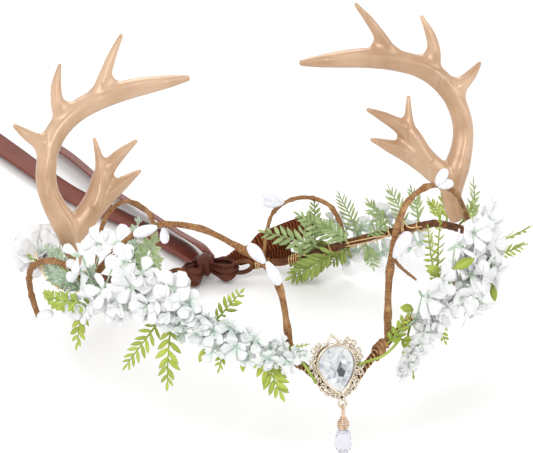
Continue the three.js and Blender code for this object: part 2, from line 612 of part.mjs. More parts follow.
// Assembly
add('circlet_wire', circlet(), 'bark');
const rightAntler = antler();
add('antler_right', rightAntler, 'antler');
add('antler_left', mirrored(rightAntler), 'antler');
for (const [name, row] of Object.entries(TWIGS)) add(name, twig(row), 'twig');
for (const [name, row] of Object.entries(BUDS)) add(name, bud(row), 'bud');
for (const [name, row] of Object.entries(SPRAYS)) add(name, spray(row), row.colour);
for (const [name, row] of Object.entries(FERNS)) add(name, frond(row), row[9]);
add('filigree_setting', setting(), 'gold');
add('pear_stone', pearStone(), 'stone');
add('drop_wire', dropWire(), 'gold');
add('drop_crystal', dropCrystal(), 'crystal');
add('ribbon_knot', knot(), 'ribbon');
add('ribbon_tail_long', strap(TAIL_LONG, { width: LONG_TAIL_WIDTH, lean: 9, gather: 0.5 }), 'ribbon');
add('ribbon_tail_short', strap(TAIL_SHORT, { width: SHORT_TAIL_WIDTH, lean: 30, gather: 0.6 }), 'ribbon');
const stripRows = STRIP.map(([angle, out, z]) => nearBand(angle, out, z).toArray());
add('ribbon_strip', strap(stripRows, { width: STRIP_WIDTH, lean: 62, steps: 6 }), 'ribbon');

export default crown;
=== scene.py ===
# %% [markdown]
# # An antler crown, dressed in Blender
# The real thing is a wire circlet wrapped in brown paper, with two gold antlers, silk
# blossoms, fern fronds, bent twigs with white buds, a pear stone with a hanging drop at
# the brow, and a satin ribbon that ties behind the head. Its plain solids come from the
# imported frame. Each step below makes one kind of piece over them, in the same place and
# at the same size, and gives it its finish.

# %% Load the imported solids
import math
import random

import bpy
import numpy as np
from mathutils import Matrix, Vector


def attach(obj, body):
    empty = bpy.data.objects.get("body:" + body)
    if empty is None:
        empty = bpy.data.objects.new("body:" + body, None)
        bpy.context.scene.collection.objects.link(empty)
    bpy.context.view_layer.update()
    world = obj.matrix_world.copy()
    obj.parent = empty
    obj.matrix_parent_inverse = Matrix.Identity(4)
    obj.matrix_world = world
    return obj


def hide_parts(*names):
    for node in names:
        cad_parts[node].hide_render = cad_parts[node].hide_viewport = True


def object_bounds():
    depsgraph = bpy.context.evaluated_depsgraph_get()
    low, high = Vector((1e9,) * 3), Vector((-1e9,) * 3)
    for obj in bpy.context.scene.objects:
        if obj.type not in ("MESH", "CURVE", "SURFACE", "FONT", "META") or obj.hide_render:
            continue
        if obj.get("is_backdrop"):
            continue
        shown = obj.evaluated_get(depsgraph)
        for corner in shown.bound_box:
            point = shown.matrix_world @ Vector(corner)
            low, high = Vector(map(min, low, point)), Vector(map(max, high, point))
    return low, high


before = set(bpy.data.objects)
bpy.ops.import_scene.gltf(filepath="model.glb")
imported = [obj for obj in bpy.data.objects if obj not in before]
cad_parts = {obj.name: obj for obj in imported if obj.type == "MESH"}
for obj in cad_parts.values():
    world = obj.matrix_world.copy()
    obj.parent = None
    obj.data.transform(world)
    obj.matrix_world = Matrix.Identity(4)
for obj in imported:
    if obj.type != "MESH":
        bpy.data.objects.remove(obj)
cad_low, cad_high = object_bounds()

MM = 0.001
UP = Vector((0, 0, 1))
bpy.ops.object.select_all(action="DESELECT")
print("solids:", len(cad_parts), "reach in mm:", [round(x / MM) for x in cad_high - cad_low])

# %% [markdown]
# ## Camera, floor and light
# The photograph looks a little from the left and from above, with a long lens that hardly
# shows perspective. A long lens far away gives the same picture. The camera could be moved
# by eye until the outlines agree, but here it is worked out from the photograph's scale,
# so that the same pixel always means the same place. The floor is just under the ribbon.

# %% Camera, floor and light
PHOTO_SIZE = (533, 453)
PIXEL = 0.42 * MM
SEEN_PLACE = Vector((0, 0, 6.3)) * MM
SEEN_PIXEL = (270, 226)
AZIMUTH = math.radians(-17.5)
ELEVATION = math.radians(25.7)
LENS = 1200
SENSOR = 36
FLOOR = -60.3 * MM
FLOOR_SIZE = 30
AIR_STRENGTH = 0.68

level_reach = math.cos(ELEVATION)
to_camera = Vector((
    math.sin(AZIMUTH) * level_reach, -math.cos(AZIMUTH) * level_reach, math.sin(ELEVATION)))
right_in_view = Vector((math.cos(AZIMUTH), math.sin(AZIMUTH), 0))
up_in_view = to_camera.cross(right_in_view)
middle = SEEN_PLACE + right_in_view * (PHOTO_SIZE[0] / 2 - SEEN_PIXEL[0]) * PIXEL
middle -= up_in_view * (PHOTO_SIZE[1] / 2 - SEEN_PIXEL[1]) * PIXEL
distance = PHOTO_SIZE[0] * PIXEL * LENS / SENSOR

bpy.ops.object.camera_add(location=middle + to_camera * distance)
camera = bpy.context.object
camera.rotation_euler = to_camera.to_track_quat("Z", "Y").to_euler()
camera.data.lens = LENS
camera.data.sensor_width = SENSOR
camera.data.clip_start = 0.1
camera.data.clip_end = 200
scene = bpy.context.scene
scene.camera = camera
scene.view_settings.view_transform = "Standard"

bpy.ops.mesh.primitive_plane_add(size=FLOOR_SIZE, location=(0, 0, FLOOR))
floor = bpy.context.object
floor.name = "studio_floor"
floor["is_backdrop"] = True

world = bpy.data.worlds.new("studio_air")
scene.world = world
world.use_nodes = True
air = world.node_tree.nodes["Background"]
air.inputs["Color"].default_value = (1, 1, 1, 1)
air.inputs["Strength"].default_value = AIR_STRENGTH

SOFTBOXES = {
    # name: place in metres, size, watts
    "key": ((-0.9, -1.3, 1.7), 1.2, 21),
    "fill": ((1.5, -0.8, 0.9), 1.4, 10),
    "back": ((0.4, 1.6, 1.5), 1.2, 14),
    "side": ((-1.6, 0.1, 0.6), 1.4, 5),
}
for name, (place, size, watts) in SOFTBOXES.items():
    bpy.ops.object.light_add(type="AREA", location=place)
    lamp = bpy.context.object
    lamp.name = "softbox_" + name
    lamp.rotation_euler = Vector(place).to_track_quat("Z", "Y").to_euler()
    lamp.data.size = size
    lamp.data.energy = watts
    lamp.visible_camera = False
print("camera is", round(distance, 2), "m away, floor at", round(FLOOR / MM, 1), "mm")

# %% [markdown]
# ## Places along the circlet
# Nearly everything on a crown is wired to its circlet, so a place is best said as a florist
# would: how far round from the brow, how far out, how high. The solids were laid out this
# way too, and the same few sizes are repeated here. A smooth curve through a short list of
# such places gives every wire, twig and ribbon its line.

# %% Places along the circlet
BAND_HALF_WIDTH = 86
BAND_HALF_DEPTH = 92
BAND_CENTRE_Y = -4
BAND_END = 167
BAND_HEIGHTS = [
    # degrees from the brow, height in mm
    (0, -28), (4, -24), (7, -17.5), (11, -11.5), (16, -6.5), (22, -2), (35, 2), (48, 3.5), (60, 1.5),
    (75, -1.5), (90, -7), (109, -16), (120, -25), (133, -35), (147, -46), (158, -52.5), (180, -57),
]
CIRCLET_STEPS = 300
BROW_CROWDING = 1.15


def near_band(angle, out, height):
    """A place in metres from degrees round from the brow and millimetres out and up."""
    turn = math.radians(angle)
    x = (BAND_HALF_WIDTH + out) * math.sin(turn)
    y = BAND_CENTRE_Y - (BAND_HALF_DEPTH + out) * math.cos(turn)
    return Vector((x, y, height)) * MM


def band_height(angle):
    angles, heights = zip(*BAND_HEIGHTS)
    return float(np.interp(abs(angle), angles, heights))


def outward(angle):
    return (near_band(angle, 1, 0) - near_band(angle, 0, 0)).normalized()


def between(a, b, share):
    return a + (b - a) * share


def on_curve(p0, p1, p2, p3, t):
    """A point between p1 and p2 on a smooth curve that also heeds the points beside them."""
    d0, d1, d2 = (max((b - a).length, 1e-9) ** 0.5 for a, b in ((p0, p1), (p1, p2), (p2, p3)))
    leave = ((p1 - p0) / d0 - (p2 - p0) / (d0 + d1) + (p2 - p1) / d1) * d1
    arrive = ((p2 - p1) / d1 - (p3 - p1) / (d1 + d2) + (p3 - p2) / d2) * d1
    bend = p1 * (2 * t ** 3 - 3 * t ** 2 + 1) + p2 * (3 * t ** 2 - 2 * t ** 3)
    return bend + leave * (t ** 3 - 2 * t ** 2 + t) + arrive * (t ** 3 - t ** 2)


def smooth_path(places, steps):
    """Steps + 1 points along a smooth curve through the places."""
    knots = [Vector(p) for p in places]
    padded = [knots[0] * 2 - knots[1], *knots, knots[-1] * 2 - knots[-2]]
    points = []
    for i in range(steps + 1):
        where = i / steps * (len(knots) - 1)
        k = min(int(where), len(knots) - 2)
        points.append(on_curve(*padded[k:k + 4], where - k))
    return points


def path_length(points):
    return sum((b - a).length for a, b in zip(points, points[1:]))


def heading_at(points, i):
    """Which way a line runs at one of its points."""
    return (points[min(i + 1, len(points) - 1)] - points[max(i - 1, 0)]).normalized()


def square_to(heading, along):
    """A heading turned until it is square to another one."""
    return (heading - along * heading.dot(along)).normalized()


def round_turns(count):
    """Angles that go once round in even steps."""
    return [2 * math.pi * i / count for i in range(count)]


def circlet_angles():
    """Angles from end to end, closest together at the brow, where the wire bends most."""
    shares = [2 * i / CIRCLET_STEPS - 1 for i in range(CIRCLET_STEPS + 1)]
    return [BAND_END * math.copysign(abs(s) ** BROW_CROWDING, s) for s in shares]


circlet_line = [near_band(a, 0, band_height(a)) for a in circlet_angles()]
print("the circlet's wire is", round(path_length(circlet_line) / MM), "mm long")

# %% [markdown]
# ## Hand tools
# These few helpers stand for what one does by hand all the time: pick one object, add a
# primitive, weld doubled points, join pieces, draw a round wire through points. A wire is
# drawn as a curve with a round bevel and then made a mesh, which also gives it a UV map that
# runs along the wire and round it. Small shapes that repeat are modelled once and planted in
# a bed, which is one mesh that holds all their copies.

# %% Hand tools
WELD_GAP = 1e-6


def only(piece):
    bpy.ops.object.select_all(action="DESELECT")
    piece.select_set(True)
    bpy.context.view_layer.objects.active = piece
    return piece


def added(primitive, **settings):
    """One of Blender's primitives, added while nothing else is selected."""
    bpy.ops.object.select_all(action="DESELECT")
    primitive(**settings)
    return bpy.context.object


def flat_grid(across, along, **settings):
    """A flat square of side 1 in rows, from which a blade or a strip of cloth is shaped."""
    rows = {"x_subdivisions": across, "y_subdivisions": along, "size": 1}
    return added(bpy.ops.mesh.primitive_grid_add, **rows, **settings)


def edge_ring(count):
    """A ring of edges with no face in it, ready to be extruded."""
    return added(bpy.ops.mesh.primitive_circle_add, vertices=count, fill_type="NOTHING")


def extrude_edges():
    """Extrudes the edges that are selected; the new points come last in the mesh."""
    bpy.ops.object.mode_set(mode="EDIT")
    bpy.ops.mesh.extrude_region_move()
    bpy.ops.object.mode_set(mode="OBJECT")


def weld(piece):
    """Merges doubled points and turns every face outwards."""
    only(piece)
    bpy.ops.object.mode_set(mode="EDIT")
    bpy.ops.mesh.select_all(action="SELECT")
    bpy.ops.mesh.remove_doubles(threshold=WELD_GAP)
    bpy.ops.mesh.normals_make_consistent(inside=False)
    bpy.ops.object.mode_set(mode="OBJECT")
    bpy.ops.object.shade_smooth()
    return piece


def join(pieces):
    only(pieces[0])
    for piece in pieces:
        piece.select_set(True)
    bpy.ops.object.join()
    return bpy.context.object


def apply_modifier(piece, kind, **settings):
    only(piece)
    bpy.ops.object.modifier_add(type=kind)
    modifier = piece.modifiers[-1]
    for key, value in settings.items():
        setattr(modifier, key, value)
    bpy.ops.object.modifier_apply(modifier=modifier.name)
    return piece


def wire(points, radius, swell=None, sides=8, closed=False):
    """A round wire through points; swell gives each point's share of the radius."""
    drawn = added(bpy.ops.curve.primitive_nurbs_path_add)
    drawn.data.splines.clear()
    line = drawn.data.splines.new("POLY")
    line.points.add(len(points) - 1)
    line.points.foreach_set("co", [x for p in points for x in (*p, 1)])
    line.points.foreach_set("radius", swell or [1] * len(points))
    line.use_cyclic_u = closed
    line.use_smooth = True
    drawn.data.bevel_depth = radius
    drawn.data.bevel_resolution = sides // 2 - 2
    drawn.data.use_fill_caps = not closed
    bpy.ops.object.convert(target="MESH")
    return weld(bpy.context.object)


def settle(piece, name, finish, body="root", replaces=()):
    """Names a finished piece, gives it its finish, ties it to its body and hides the solids it replaces."""
    piece.name = name
    piece.data.name = name
    piece.data.materials.clear()
    piece.data.materials.append(finish)
    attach(piece, body)
    if replaces:
        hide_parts(*replaces)
    return piece


class Bed:
    """Copies of small shapes gathered into one mesh, each copy moved by a matrix."""

    def __init__(self):
        self.points, self.faces, self.uvs, self.tints = [], [], [], []
        self.count = 0

    def plant(self, shape, matrix, tint=0.5):
        turned = shape["points"] @ np.array(matrix.to_3x3()).T + np.array(matrix.translation)
        self.points.append(turned)
        self.faces += [tuple(i + self.count for i in face) for face in shape["faces"]]
        self.uvs.append(shape["uvs"])
        self.tints.append(np.full(len(turned), tint))
        self.count += len(turned)

    def grow(self, name):
        """The bed as one object, with the copies' own UV maps and a tint for each."""
        mesh = bpy.data.meshes.new(name)
        mesh.from_pydata(np.concatenate(self.points).tolist(), [], self.faces)
        layer = mesh.uv_layers.new(name="UVMap")
        layer.data.foreach_set("uv", np.concatenate(self.uvs).ravel())
        tint = mesh.attributes.new("tint", "FLOAT", "POINT")
        tint.data.foreach_set("value", np.concatenate(self.tints).astype(np.float32))
        piece = bpy.data.objects.new(name, mesh)
        scene.collection.objects.link(piece)
        only(piece)
        bpy.ops.object.shade_smooth()
        return piece


def lift_shape(piece):
    """Takes a modelled shape into arrays, ready to be planted, and puts the object away."""
    mesh = piece.data
    uvs = np.zeros((len(mesh.loops), 2))
    if mesh.uv_layers:
        flat = np.zeros(len(mesh.loops) * 2)
        mesh.uv_layers[0].data.foreach_get("uv", flat)
        uvs = flat.reshape(-1, 2)
    points = np.array([v.co for v in mesh.vertices])
    faces = [tuple(p.vertices) for p in mesh.polygons]
    bpy.data.objects.remove(piece)
    return {"points": points, "faces": faces, "uvs": uvs}


def frame_of(place, along, face, size=1.0):
    """A matrix that stands at a place with Y along one heading and Z towards another."""
    y = along.normalized()
    z = square_to(face, y)
    x = y.cross(z)
    turn = Matrix((x, y, z)).transposed().to_4x4()
    return Matrix.Translation(place) @ turn @ Matrix.Scale(size, 4)


def sized(wide, length):
    """A matrix that makes a shape of length 1 along Y as wide and as long as it should be."""
    return Matrix.Diagonal((wide, length, wide, 1))


dice = random.Random(7)
print("tools ready")

# %% [markdown]
# ## Finishes
# A finish is a node material. Wiring nodes by hand grows long, so one small class lets a
# socket be used in a Python sum, and another makes any node from its type, its settings and
# its sockets. Patterns read Object coordinates, the UV map of a wire or leaf, or the tint
# that each planted copy carries.

# %% A socket that can be added and multiplied
class Term:
    """A node's output that Python's operators work on; each operation adds a Math node."""

    def __init__(self, finish, socket):
        self.finish = finish
        self.socket = socket

    def maths(self, operation, *terms):
        return self.finish.node("ShaderNodeMath", {"operation": operation}, dict(enumerate(terms)))

    def __add__(self, other):
        return self.maths("ADD", self, other)

    def __sub__(self, other):
        return self.maths("SUBTRACT", self, other)

    def __rsub__(self, other):
        return self.maths("SUBTRACT", other, self)

    def __mul__(self, other):
        return self.maths("MULTIPLY", self, other)

    __radd__ = __add__
    __rmul__ = __mul__

    def wave(self):
        return self.maths("SINE", self)

    def size(self):
        return self.maths("ABSOLUTE", self)

    def clamped(self, low, high):
        settings = {"interpolation_type": "SMOOTHSTEP"}
        sockets = {"Value": self, "From Min": low, "From Max": high}
        return self.finish.node("ShaderNodeMapRange", settings, sockets)


class Finish:
    """One material and the nodes behind it; fixed numbers are set on the shader itself."""

    def __init__(self, name, **fixed):
        self.material = bpy.data.materials.new(name)
        self.material.use_nodes = True
        self.tree = self.material.node_tree
        self.shader = self.tree.nodes["Principled BSDF"]
        for socket, value in fixed.items():
            self.shader.inputs[socket.replace("_", " ")].default_value = value

    def put(self, value, place):
        if isinstance(value, Term):
            self.tree.links.new(value.socket, place)
        else:
            place.default_value = value

    def node(self, kind, settings=None, sockets=None, output=0):
        made = self.tree.nodes.new(kind)
        for key, value in (settings or {}).items():
            setattr(made, key, value)
        for key, value in (sockets or {}).items():
            self.put(value, made.inputs[key])
        return Term(self, made.outputs[output])

    def place(self, kind="Object"):
        return self.node("ShaderNodeTexCoord", output=kind)

    def stretched(self, vector, scale):
        return self.node("ShaderNodeMapping", {}, {"Vector": vector, "Scale": scale})

    def axis(self, vector, letter):
        return self.node("ShaderNodeSeparateXYZ", {}, {"Vector": vector}, output=letter)

    def noise(self, vector, scale, detail=3.0):
        return self.node("ShaderNodeTexNoise", {}, {"Vector": vector, "Scale": scale, "Detail": detail})

    def spots(self, vector, scale):
        return self.node("ShaderNodeTexVoronoi", {}, {"Vector": vector, "Scale": scale})

    def tint(self):
        return self.node("ShaderNodeAttribute", {"attribute_name": "tint"}, output="Fac")

    def mix(self, share, first, second):
        sockets = {0: share, 6: first, 7: second}
        return self.node("ShaderNodeMix", {"data_type": "RGBA"}, sockets, output=2)

    def paint(self, socket, term):
        self.put(term, self.shader.inputs[socket])

    def bump(self, height, depth, strength):
        sockets = {"Height": height, "Distance": depth, "Strength": strength}
        self.paint("Normal", self.node("ShaderNodeBump", {}, sockets))


def srgb(red, green, blue):
    """A colour as it is read off a screen, from 0 to 255, made linear."""
    shares = [x / 255 for x in (red, green, blue)]
    return (*[s / 12.92 if s <= 0.04045 else ((s + 0.055) / 1.055) ** 2.4 for s in shares], 1)


def floor_finish():
    paper = Finish("white_paper", Roughness=0.9)
    shade = paper.noise(paper.place(), 3.0)
    paper.paint("Base Color", paper.mix(shade, (0.93, 0.93, 0.93, 1), (0.96, 0.96, 0.96, 1)))
    return paper.material


floor.data.materials.append(floor_finish())
print("finishes can be mixed")

# %% [markdown]
# ## Antlers
# The antlers are light moulded plastic, painted a satin champagne gold. Each has a beam that
# sweeps up and in, tines that grow out of it through soft webs, and a low ridge that runs up
# the front. A carver would cut this from one block; here it is built up like clay on wire. A
# rod of changing radius is drawn for the beam and for each tine, small rods fill the crotches,
# and a voxel remesh melts all of them into one skin. Swelling the skin, melting it again and
# shrinking it back rounds every crotch. Thin rods for the ridges are melted in last.

# %% Antlers
ANTLER_VOXEL = 0.7 * MM
ANTLER_FRONT = Vector((0.1, -0.88, 0.46))
ANTLER_PARTS = [
    # rods that are melted together, and how far the crotches between them are filled in mm
    (("beam", "second", "third", "fourth"), 2.6), (("brow", "middle", "low"), 0.9),
]
# ridges: depth and radius as shares of the rod's radius, then the steps that stay bare
RIDGE_SINK = 0.8
RIDGE_SHARE = 0.38
RIDGE_FROM_FOOT = 4
RIDGE_FROM_FORK = 12
RIDGE_BARE_TIP = 3
# webs: how near they bend to the crotch, then where they end and how thick they are, by size
WEB_REACH = 0.86
WEB_FOOT = 1.2
WEB_END = 1.6
WEB_THIN = 0.2
WEB_SWELL = 0.16
WEB_STEPS = 12
TIP_STEPS = 40
ANTLER_RODS = {
    # name: the rod it grows from, the size of its webs towards the foot and the tip of that rod,
    # then rows of x, y, z and radius in mm on the right antler
    "beam": (None, None, [
        (85.2, 7.2, -6.9, 3.2), (83.4, 9.2, 0, 3.7), (84, 11.2, 8, 5.3), (86.6, 13, 15, 5.7),
        (89.2, 15.6, 20, 5), (91.2, 18.4, 25.6, 4.6), (91.8, 20.8, 31, 4.5), (91, 23, 36.5, 4.5),
        (89.2, 26, 41.8, 4.4), (85.6, 29, 47.6, 4.8), (81, 30.8, 52, 4.8), (75.4, 32.2, 55.4, 4.7),
        (68, 33.8, 58, 4.7), (60, 34, 60.2, 4.6), (52, 34.4, 61.5, 4.4), (43, 35, 62, 3.9),
        (33, 35.4, 62.2, 2.8), (24, 35.6, 62.5, 1.3)]),
    "second": ("beam", (6, 4.5), [
        (66, 33.6, 58.5, 3.4), (62.2, 36, 66, 2.9), (57, 40, 75, 2.1), (51.2, 44, 83, 1.0)]),
    "third": ("beam", (4.5, 4.5), [
        (81, 31, 52.5, 3.6), (83, 33, 60, 3), (82.4, 36.5, 67, 2.3), (79.4, 40.6, 75, 0.85)]),
    "fourth": ("beam", (5.5, 5.5), [
        (88.4, 26, 42, 4), (92.6, 26.8, 46, 3.4), (98, 28.4, 50, 2.5), (103, 31, 54, 1.0)]),
    "brow": ("beam", (5, 3.4), [
        (84, 11.4, 8.6, 5.2), (78.6, 13, 13.8, 5.5), (72.4, 14.8, 20.6, 5.5), (69, 18, 29, 4.2),
        (68, 20.4, 34, 2.5), (68.3, 22.6, 39, 1.7), (69.3, 25.6, 45.7, 0.9)]),
    "middle": ("brow", (4, 4), [
        (69, 18, 29, 3.6), (64, 20.8, 34, 3.3), (58, 23.2, 38, 2.5), (50.4, 25.1, 42.2, 0.9)]),
    "low": ("brow", (4.5, 4.5), [
        (73.5, 14.2, 18, 4.8), (66.5, 16, 22.8, 4.1), (59, 18.2, 26.6, 3), (50.4, 19.9, 30.6, 0.9)]),
}


def champagne_gold():
    paint = Finish("champagne_gold", Metallic=0.25, Coat_Weight=0.35, Coat_Roughness=0.25)
    place = paint.place()
    cloud = paint.noise(place, 45, 4)
    streak_grain_and_sheen = paint.noise(paint.stretched(place, (1, 1, 0.15)), 300, 3)
    # painted shade: the gold is mixed darker towards the antler's foot by height, on top of the cloud's
    # uneven tone
    risen = paint.axis(place, "Z").clamped(-4 * MM, 50 * MM)
    tone_and_painted_shade = cloud.clamped(0.3, 0.7) * 0.6 + risen * 0.4
    tone = paint.mix(tone_and_painted_shade, srgb(166, 124, 86), srgb(214, 180, 149))
    # lighter streaks: partly a grain in the paint, which the bump shows too, and partly painted sheen
    paint.paint("Base Color", paint.mix(streak_grain_and_sheen.clamped(0.58, 0.8) * 0.3, tone, srgb(236, 212, 188)))
    paint.paint("Roughness", 0.3 + 0.14 * cloud)
    paint.bump(streak_grain_and_sheen, 0.0004, 0.3)
    return paint.material


def antler_line(rows, hand):
    """A rod's centre line and its radius in mm at each point."""
    line = smooth_path([Vector((hand * x, y, z)) * MM for x, y, z, _ in rows], TIP_STEPS)
    radii = [radius for _, _, _, radius in rows]
    where = np.linspace(0, len(rows) - 1, TIP_STEPS + 1)
    return line, list(np.interp(where, range(len(rows)), radii))


def ridge(line, radii, hand, first):
    """A thinner rod sunk into the front of a rod, so that it stands proud as a low ridge."""
    front = Vector((hand * ANTLER_FRONT.x, ANTLER_FRONT.y, ANTLER_FRONT.z))
    sunk = []
    for i, point in enumerate(line):
        across = square_to(front, heading_at(line, i))
        sunk.append(point + across * radii[i] * RIDGE_SINK * MM)
    part = slice(first, -RIDGE_BARE_TIP)
    return wire(sunk[part], MM, [r * RIDGE_SHARE for r in radii[part]], sides=8)


def walk(points, start, way, distance):
    """The point reached by walking along a line from one of its points."""
    k = start
    while 0 < k + way < len(points) - 1 and distance > 0:
        distance -= (points[k + way] - points[k]).length
        k += way
    return points[k]


def webs(line, parent, sizes):
    """Two curved rods that fill the crotches between a tine and the rod it grows from."""
    root = line[0]
    k = min(range(1, TIP_STEPS), key=lambda i: (parent[i] - root).length)
    pieces = []
    for way, size in zip((-1, 1), sizes):
        foot = walk(parent, k, way, WEB_FOOT * size * MM)
        end = walk(line, 0, 1, WEB_END * size * MM)
        bend = between(root, (foot + end) / 2, WEB_REACH)
        swell = [WEB_THIN + WEB_SWELL * math.sin(math.pi * i / WEB_STEPS) for i in range(WEB_STEPS + 1)]
        pieces.append(wire(smooth_path([foot, bend, end], WEB_STEPS), size * MM, swell, sides=8))
    return pieces


def melt(clay):
    """Turns everything in an object into one skin of small, even faces."""
    only(clay)
    clay.data.remesh_voxel_size = ANTLER_VOXEL
    bpy.ops.object.voxel_remesh()


def rounded(rods, fill):
    """Rods as one skin that is swollen, melted again and shrunk, so that its crotches are filled."""
    skin = join(rods)
    melt(skin)
    apply_modifier(skin, "DISPLACE", strength=fill * MM, mid_level=0)
    melt(skin)
    apply_modifier(skin, "SMOOTH", factor=0.5, iterations=4)
    apply_modifier(skin, "DISPLACE", strength=-fill * MM, mid_level=0)
    return skin


def antler(hand):
    lines = {name: antler_line(rows, hand) for name, (_, _, rows) in ANTLER_RODS.items()}
    pieces = []
    for names, fill in ANTLER_PARTS:
        clay = []
        for name in names:
            parent, sizes, _ = ANTLER_RODS[name]
            line, radii = lines[name]
            clay.append(wire(line, MM, radii, sides=12))
            pieces.append(ridge(line, radii, hand, RIDGE_FROM_FORK if parent else RIDGE_FROM_FOOT))
            if parent:
                clay += webs(line, lines[parent][0], sizes)
        pieces.append(rounded(clay, fill))
    horn = join(pieces)
    melt(horn)
    apply_modifier(horn, "SMOOTH", factor=0.5, iterations=6)
    bpy.ops.object.shade_smooth()
    return horn


gold_paint = champagne_gold()
for side, hand in (("right", 1), ("left", -1)):
    solid = "antler_" + side
    horn = settle(antler(hand), "gold_" + solid, gold_paint, replaces=[solid])
    print(horn.name, "has", len(horn.data.polygons), "faces")

# %% [markdown]
# ## Wrapped circlet
# The circlet is wire wrapped in a strip of brown paper, so its surface shows a slow helix of
# overlapping edges and fibres that run along it. A plain tube with a pattern would do from
# afar. Here the tube's own points are moved out and in along the helix, so that the wrap also
# shows at the outline. The two ends are bent into eyelets for the ribbon.

# %% Wrapped circlet
WIRE_RADIUS = 1.65
WRAP_PITCH = 5.5 * MM
WRAP_DEPTH = 0.3 * MM
EYELET_HALF_WIDTH = 4.6
EYELET_HALF_HEIGHT = 2.7
EYELET_GAP = 0.2
EYELET_POINTS = 40
EYELET_WIRE = 1.0


def paper_bark(name, dark, middle_tone, light, fibres=(9, 260)):
    """Brown paper or bark: fibres along the UV map's length, darker in the creases."""
    bark = Finish(name, Specular_IOR_Level=0.3)
    uv = bark.place("UV")
    place = bark.place()
    fibre = bark.noise(bark.stretched(uv, (fibres[1], fibres[0], 1)), 1.0, 5)
    cloud = bark.noise(place, 160, 3)
    tone = bark.mix(fibre.clamped(0.3, 0.72), dark, middle_tone)
    bark.paint("Base Color", bark.mix(cloud.clamped(0.45, 0.8), tone, light))
    bark.paint("Roughness", 0.6 + 0.25 * fibre)
    bark.bump(fibre, 0.0006, 0.7)
    return bark.material


def wrap_relief(tube, pitch, depth, length):
    """Moves a tube's points out and in along a helix, as a wound strip's edges do."""
    mesh = tube.data
    uv = np.zeros((len(mesh.vertices), 2))
    for loop in mesh.loops:
        uv[loop.vertex_index] = mesh.uv_layers[0].data[loop.index].uv
    phase = (uv[:, 0] * length / pitch + uv[:, 1]) % 1
    for vertex, share in zip(mesh.vertices, phase):
        vertex.co += vertex.normal * depth * (share - 0.5)
    mesh.update()


def eyelet_centre(hand):
    centre = near_band(hand * BAND_END, 0, band_height(BAND_END))
    centre.x -= hand * (EYELET_HALF_WIDTH + EYELET_GAP) * MM
    return centre


def eyelet(hand):
    """The wire's end, bent into a flat oval that the ribbon goes through."""
    ring = []
    for turn in round_turns(EYELET_POINTS):
        offset = Vector((EYELET_HALF_WIDTH * math.cos(turn), 0, EYELET_HALF_HEIGHT * math.sin(turn)))
        ring.append(eyelet_centre(hand) + offset * MM)
    return wire(ring, EYELET_WIRE * MM, sides=8, closed=True)


brown_paper = paper_bark("brown_paper", srgb(62, 32, 18), srgb(118, 70, 38), srgb(146, 94, 54))
band = wire(circlet_line, WIRE_RADIUS * MM, sides=12)
wrap_relief(band, WRAP_PITCH, WRAP_DEPTH, path_length(circlet_line))
bent = join([band, eyelet(-1), eyelet(1)])
circlet = settle(bent, "wrapped_circlet", brown_paper, replaces=["circlet_wire"])
print("circlet faces:", len(circlet.data.polygons))

# %% [markdown]
# ## Gold binding wire
# Thin gold wire binds the stems to the circlet: tight turns near the eyelets and on both arms
# of the brow, and loose strands that wander along the back and by the left antler. A binding
# is one helix round the circlet's own line; a loose strand is a smooth curve through a few
# places near it.

# %% Gold binding wire
BINDING_RADIUS = 0.3
BINDING_REACH = WIRE_RADIUS + 0.25
TURN_STEPS = 16
HELIX_STEPS = 24
STRAND_STEPS = 24
BINDINGS = [
    # from and to, in degrees from the brow, turns, and how far off the paper in mm
    (157, 153, 6, 0.0), (-158, -153, 6, 0.0), (166.5, 165, 3, 0.0), (-166.5, -165, 3, 0.0),
    (24, 18, 6, 0.0), (11, 4, 8, 0.0), (-13, -3.5, 9, 0.0), (-29, -24, 3, 0.4), (-98, -88, 4, 0.4),
    (72, 84, 4, 0.4), (147, 136, 2, 0.6), (128, 112, 3, 0.7), (-140, -112, 5, 0.4), (-70, -58, 4, 0.4),
    (40, 52, 4, 0.4),
]
LOOSE_STRANDS = [
    # rows of degrees, out and height in mm
    [(155, -2, -49), (152, -3.6, -47), (149, -3.4, -49.2), (146, -2, -46)],
    [(140, -2, -39.6), (136, -2.8, -36.6), (131, -2.4, -33.4), (127, -2, -31)],
    [(140, -2, -41), (135, -3, -37.6), (130, -2.6, -34.4), (125, -2, -29.4)],
    [(121, -2, -26.4), (119, -5, -19), (115, -6.4, -19.6), (113, -2, -19.4)],
    [(-97, 15.6, 5), (-93, 12, -2), (-89.6, 6, -6.4), (-87, 2, -7)],
    [(-95, 15.8, 2), (-91, 11, -5), (-88, 5, -7.4), (-85, 2, -5)],
]


def helix(start, end, turns, reach):
    """Points that wind round the circlet from angle to angle, at a reach in mm from its middle."""
    steps = max(HELIX_STEPS, int(turns * TURN_STEPS))
    points = []
    for i in range(steps + 1):
        angle = between(start, end, i / steps)
        spin = 2 * math.pi * turns * i / steps
        offset = outward(angle) * math.cos(spin) + UP * math.sin(spin)
        points.append(near_band(angle, 0, band_height(angle)) + offset * reach * MM)
    return points


def bright_wire():
    gold = Finish("gold_wire", Metallic=1.0)
    cloud = gold.noise(gold.place(), 300)
    gold.paint("Base Color", gold.mix(cloud, srgb(208, 166, 104), srgb(242, 214, 164)))
    gold.paint("Roughness", 0.24 + 0.1 * cloud)
    return gold.material


gold_wire = bright_wire()
strands = []
for start, end, turns, lift in BINDINGS:
    strands.append(wire(helix(start, end, turns, BINDING_REACH + lift), BINDING_RADIUS * MM, sides=6))
for rows in LOOSE_STRANDS:
    line = smooth_path([near_band(*row) for row in rows], STRAND_STEPS)
    strands.append(wire(line, BINDING_RADIUS * MM, sides=6))
binding = settle(join(strands), "binding_wire", gold_wire)
print("binding wire faces:", len(binding.data.polygons))

# %% [markdown]
# ## Twigs
# The twigs are wire in rough ochre paper. They rise from the circlet, bend in knees where a
# side shoot would sit, swell a little at each knee and grow thinner towards the end. A wire of
# changing radius gives the swell, and a displace modifier with a cloud texture makes the
# surface uneven. The right arch is tied to the circlet by three turns of its own foot.

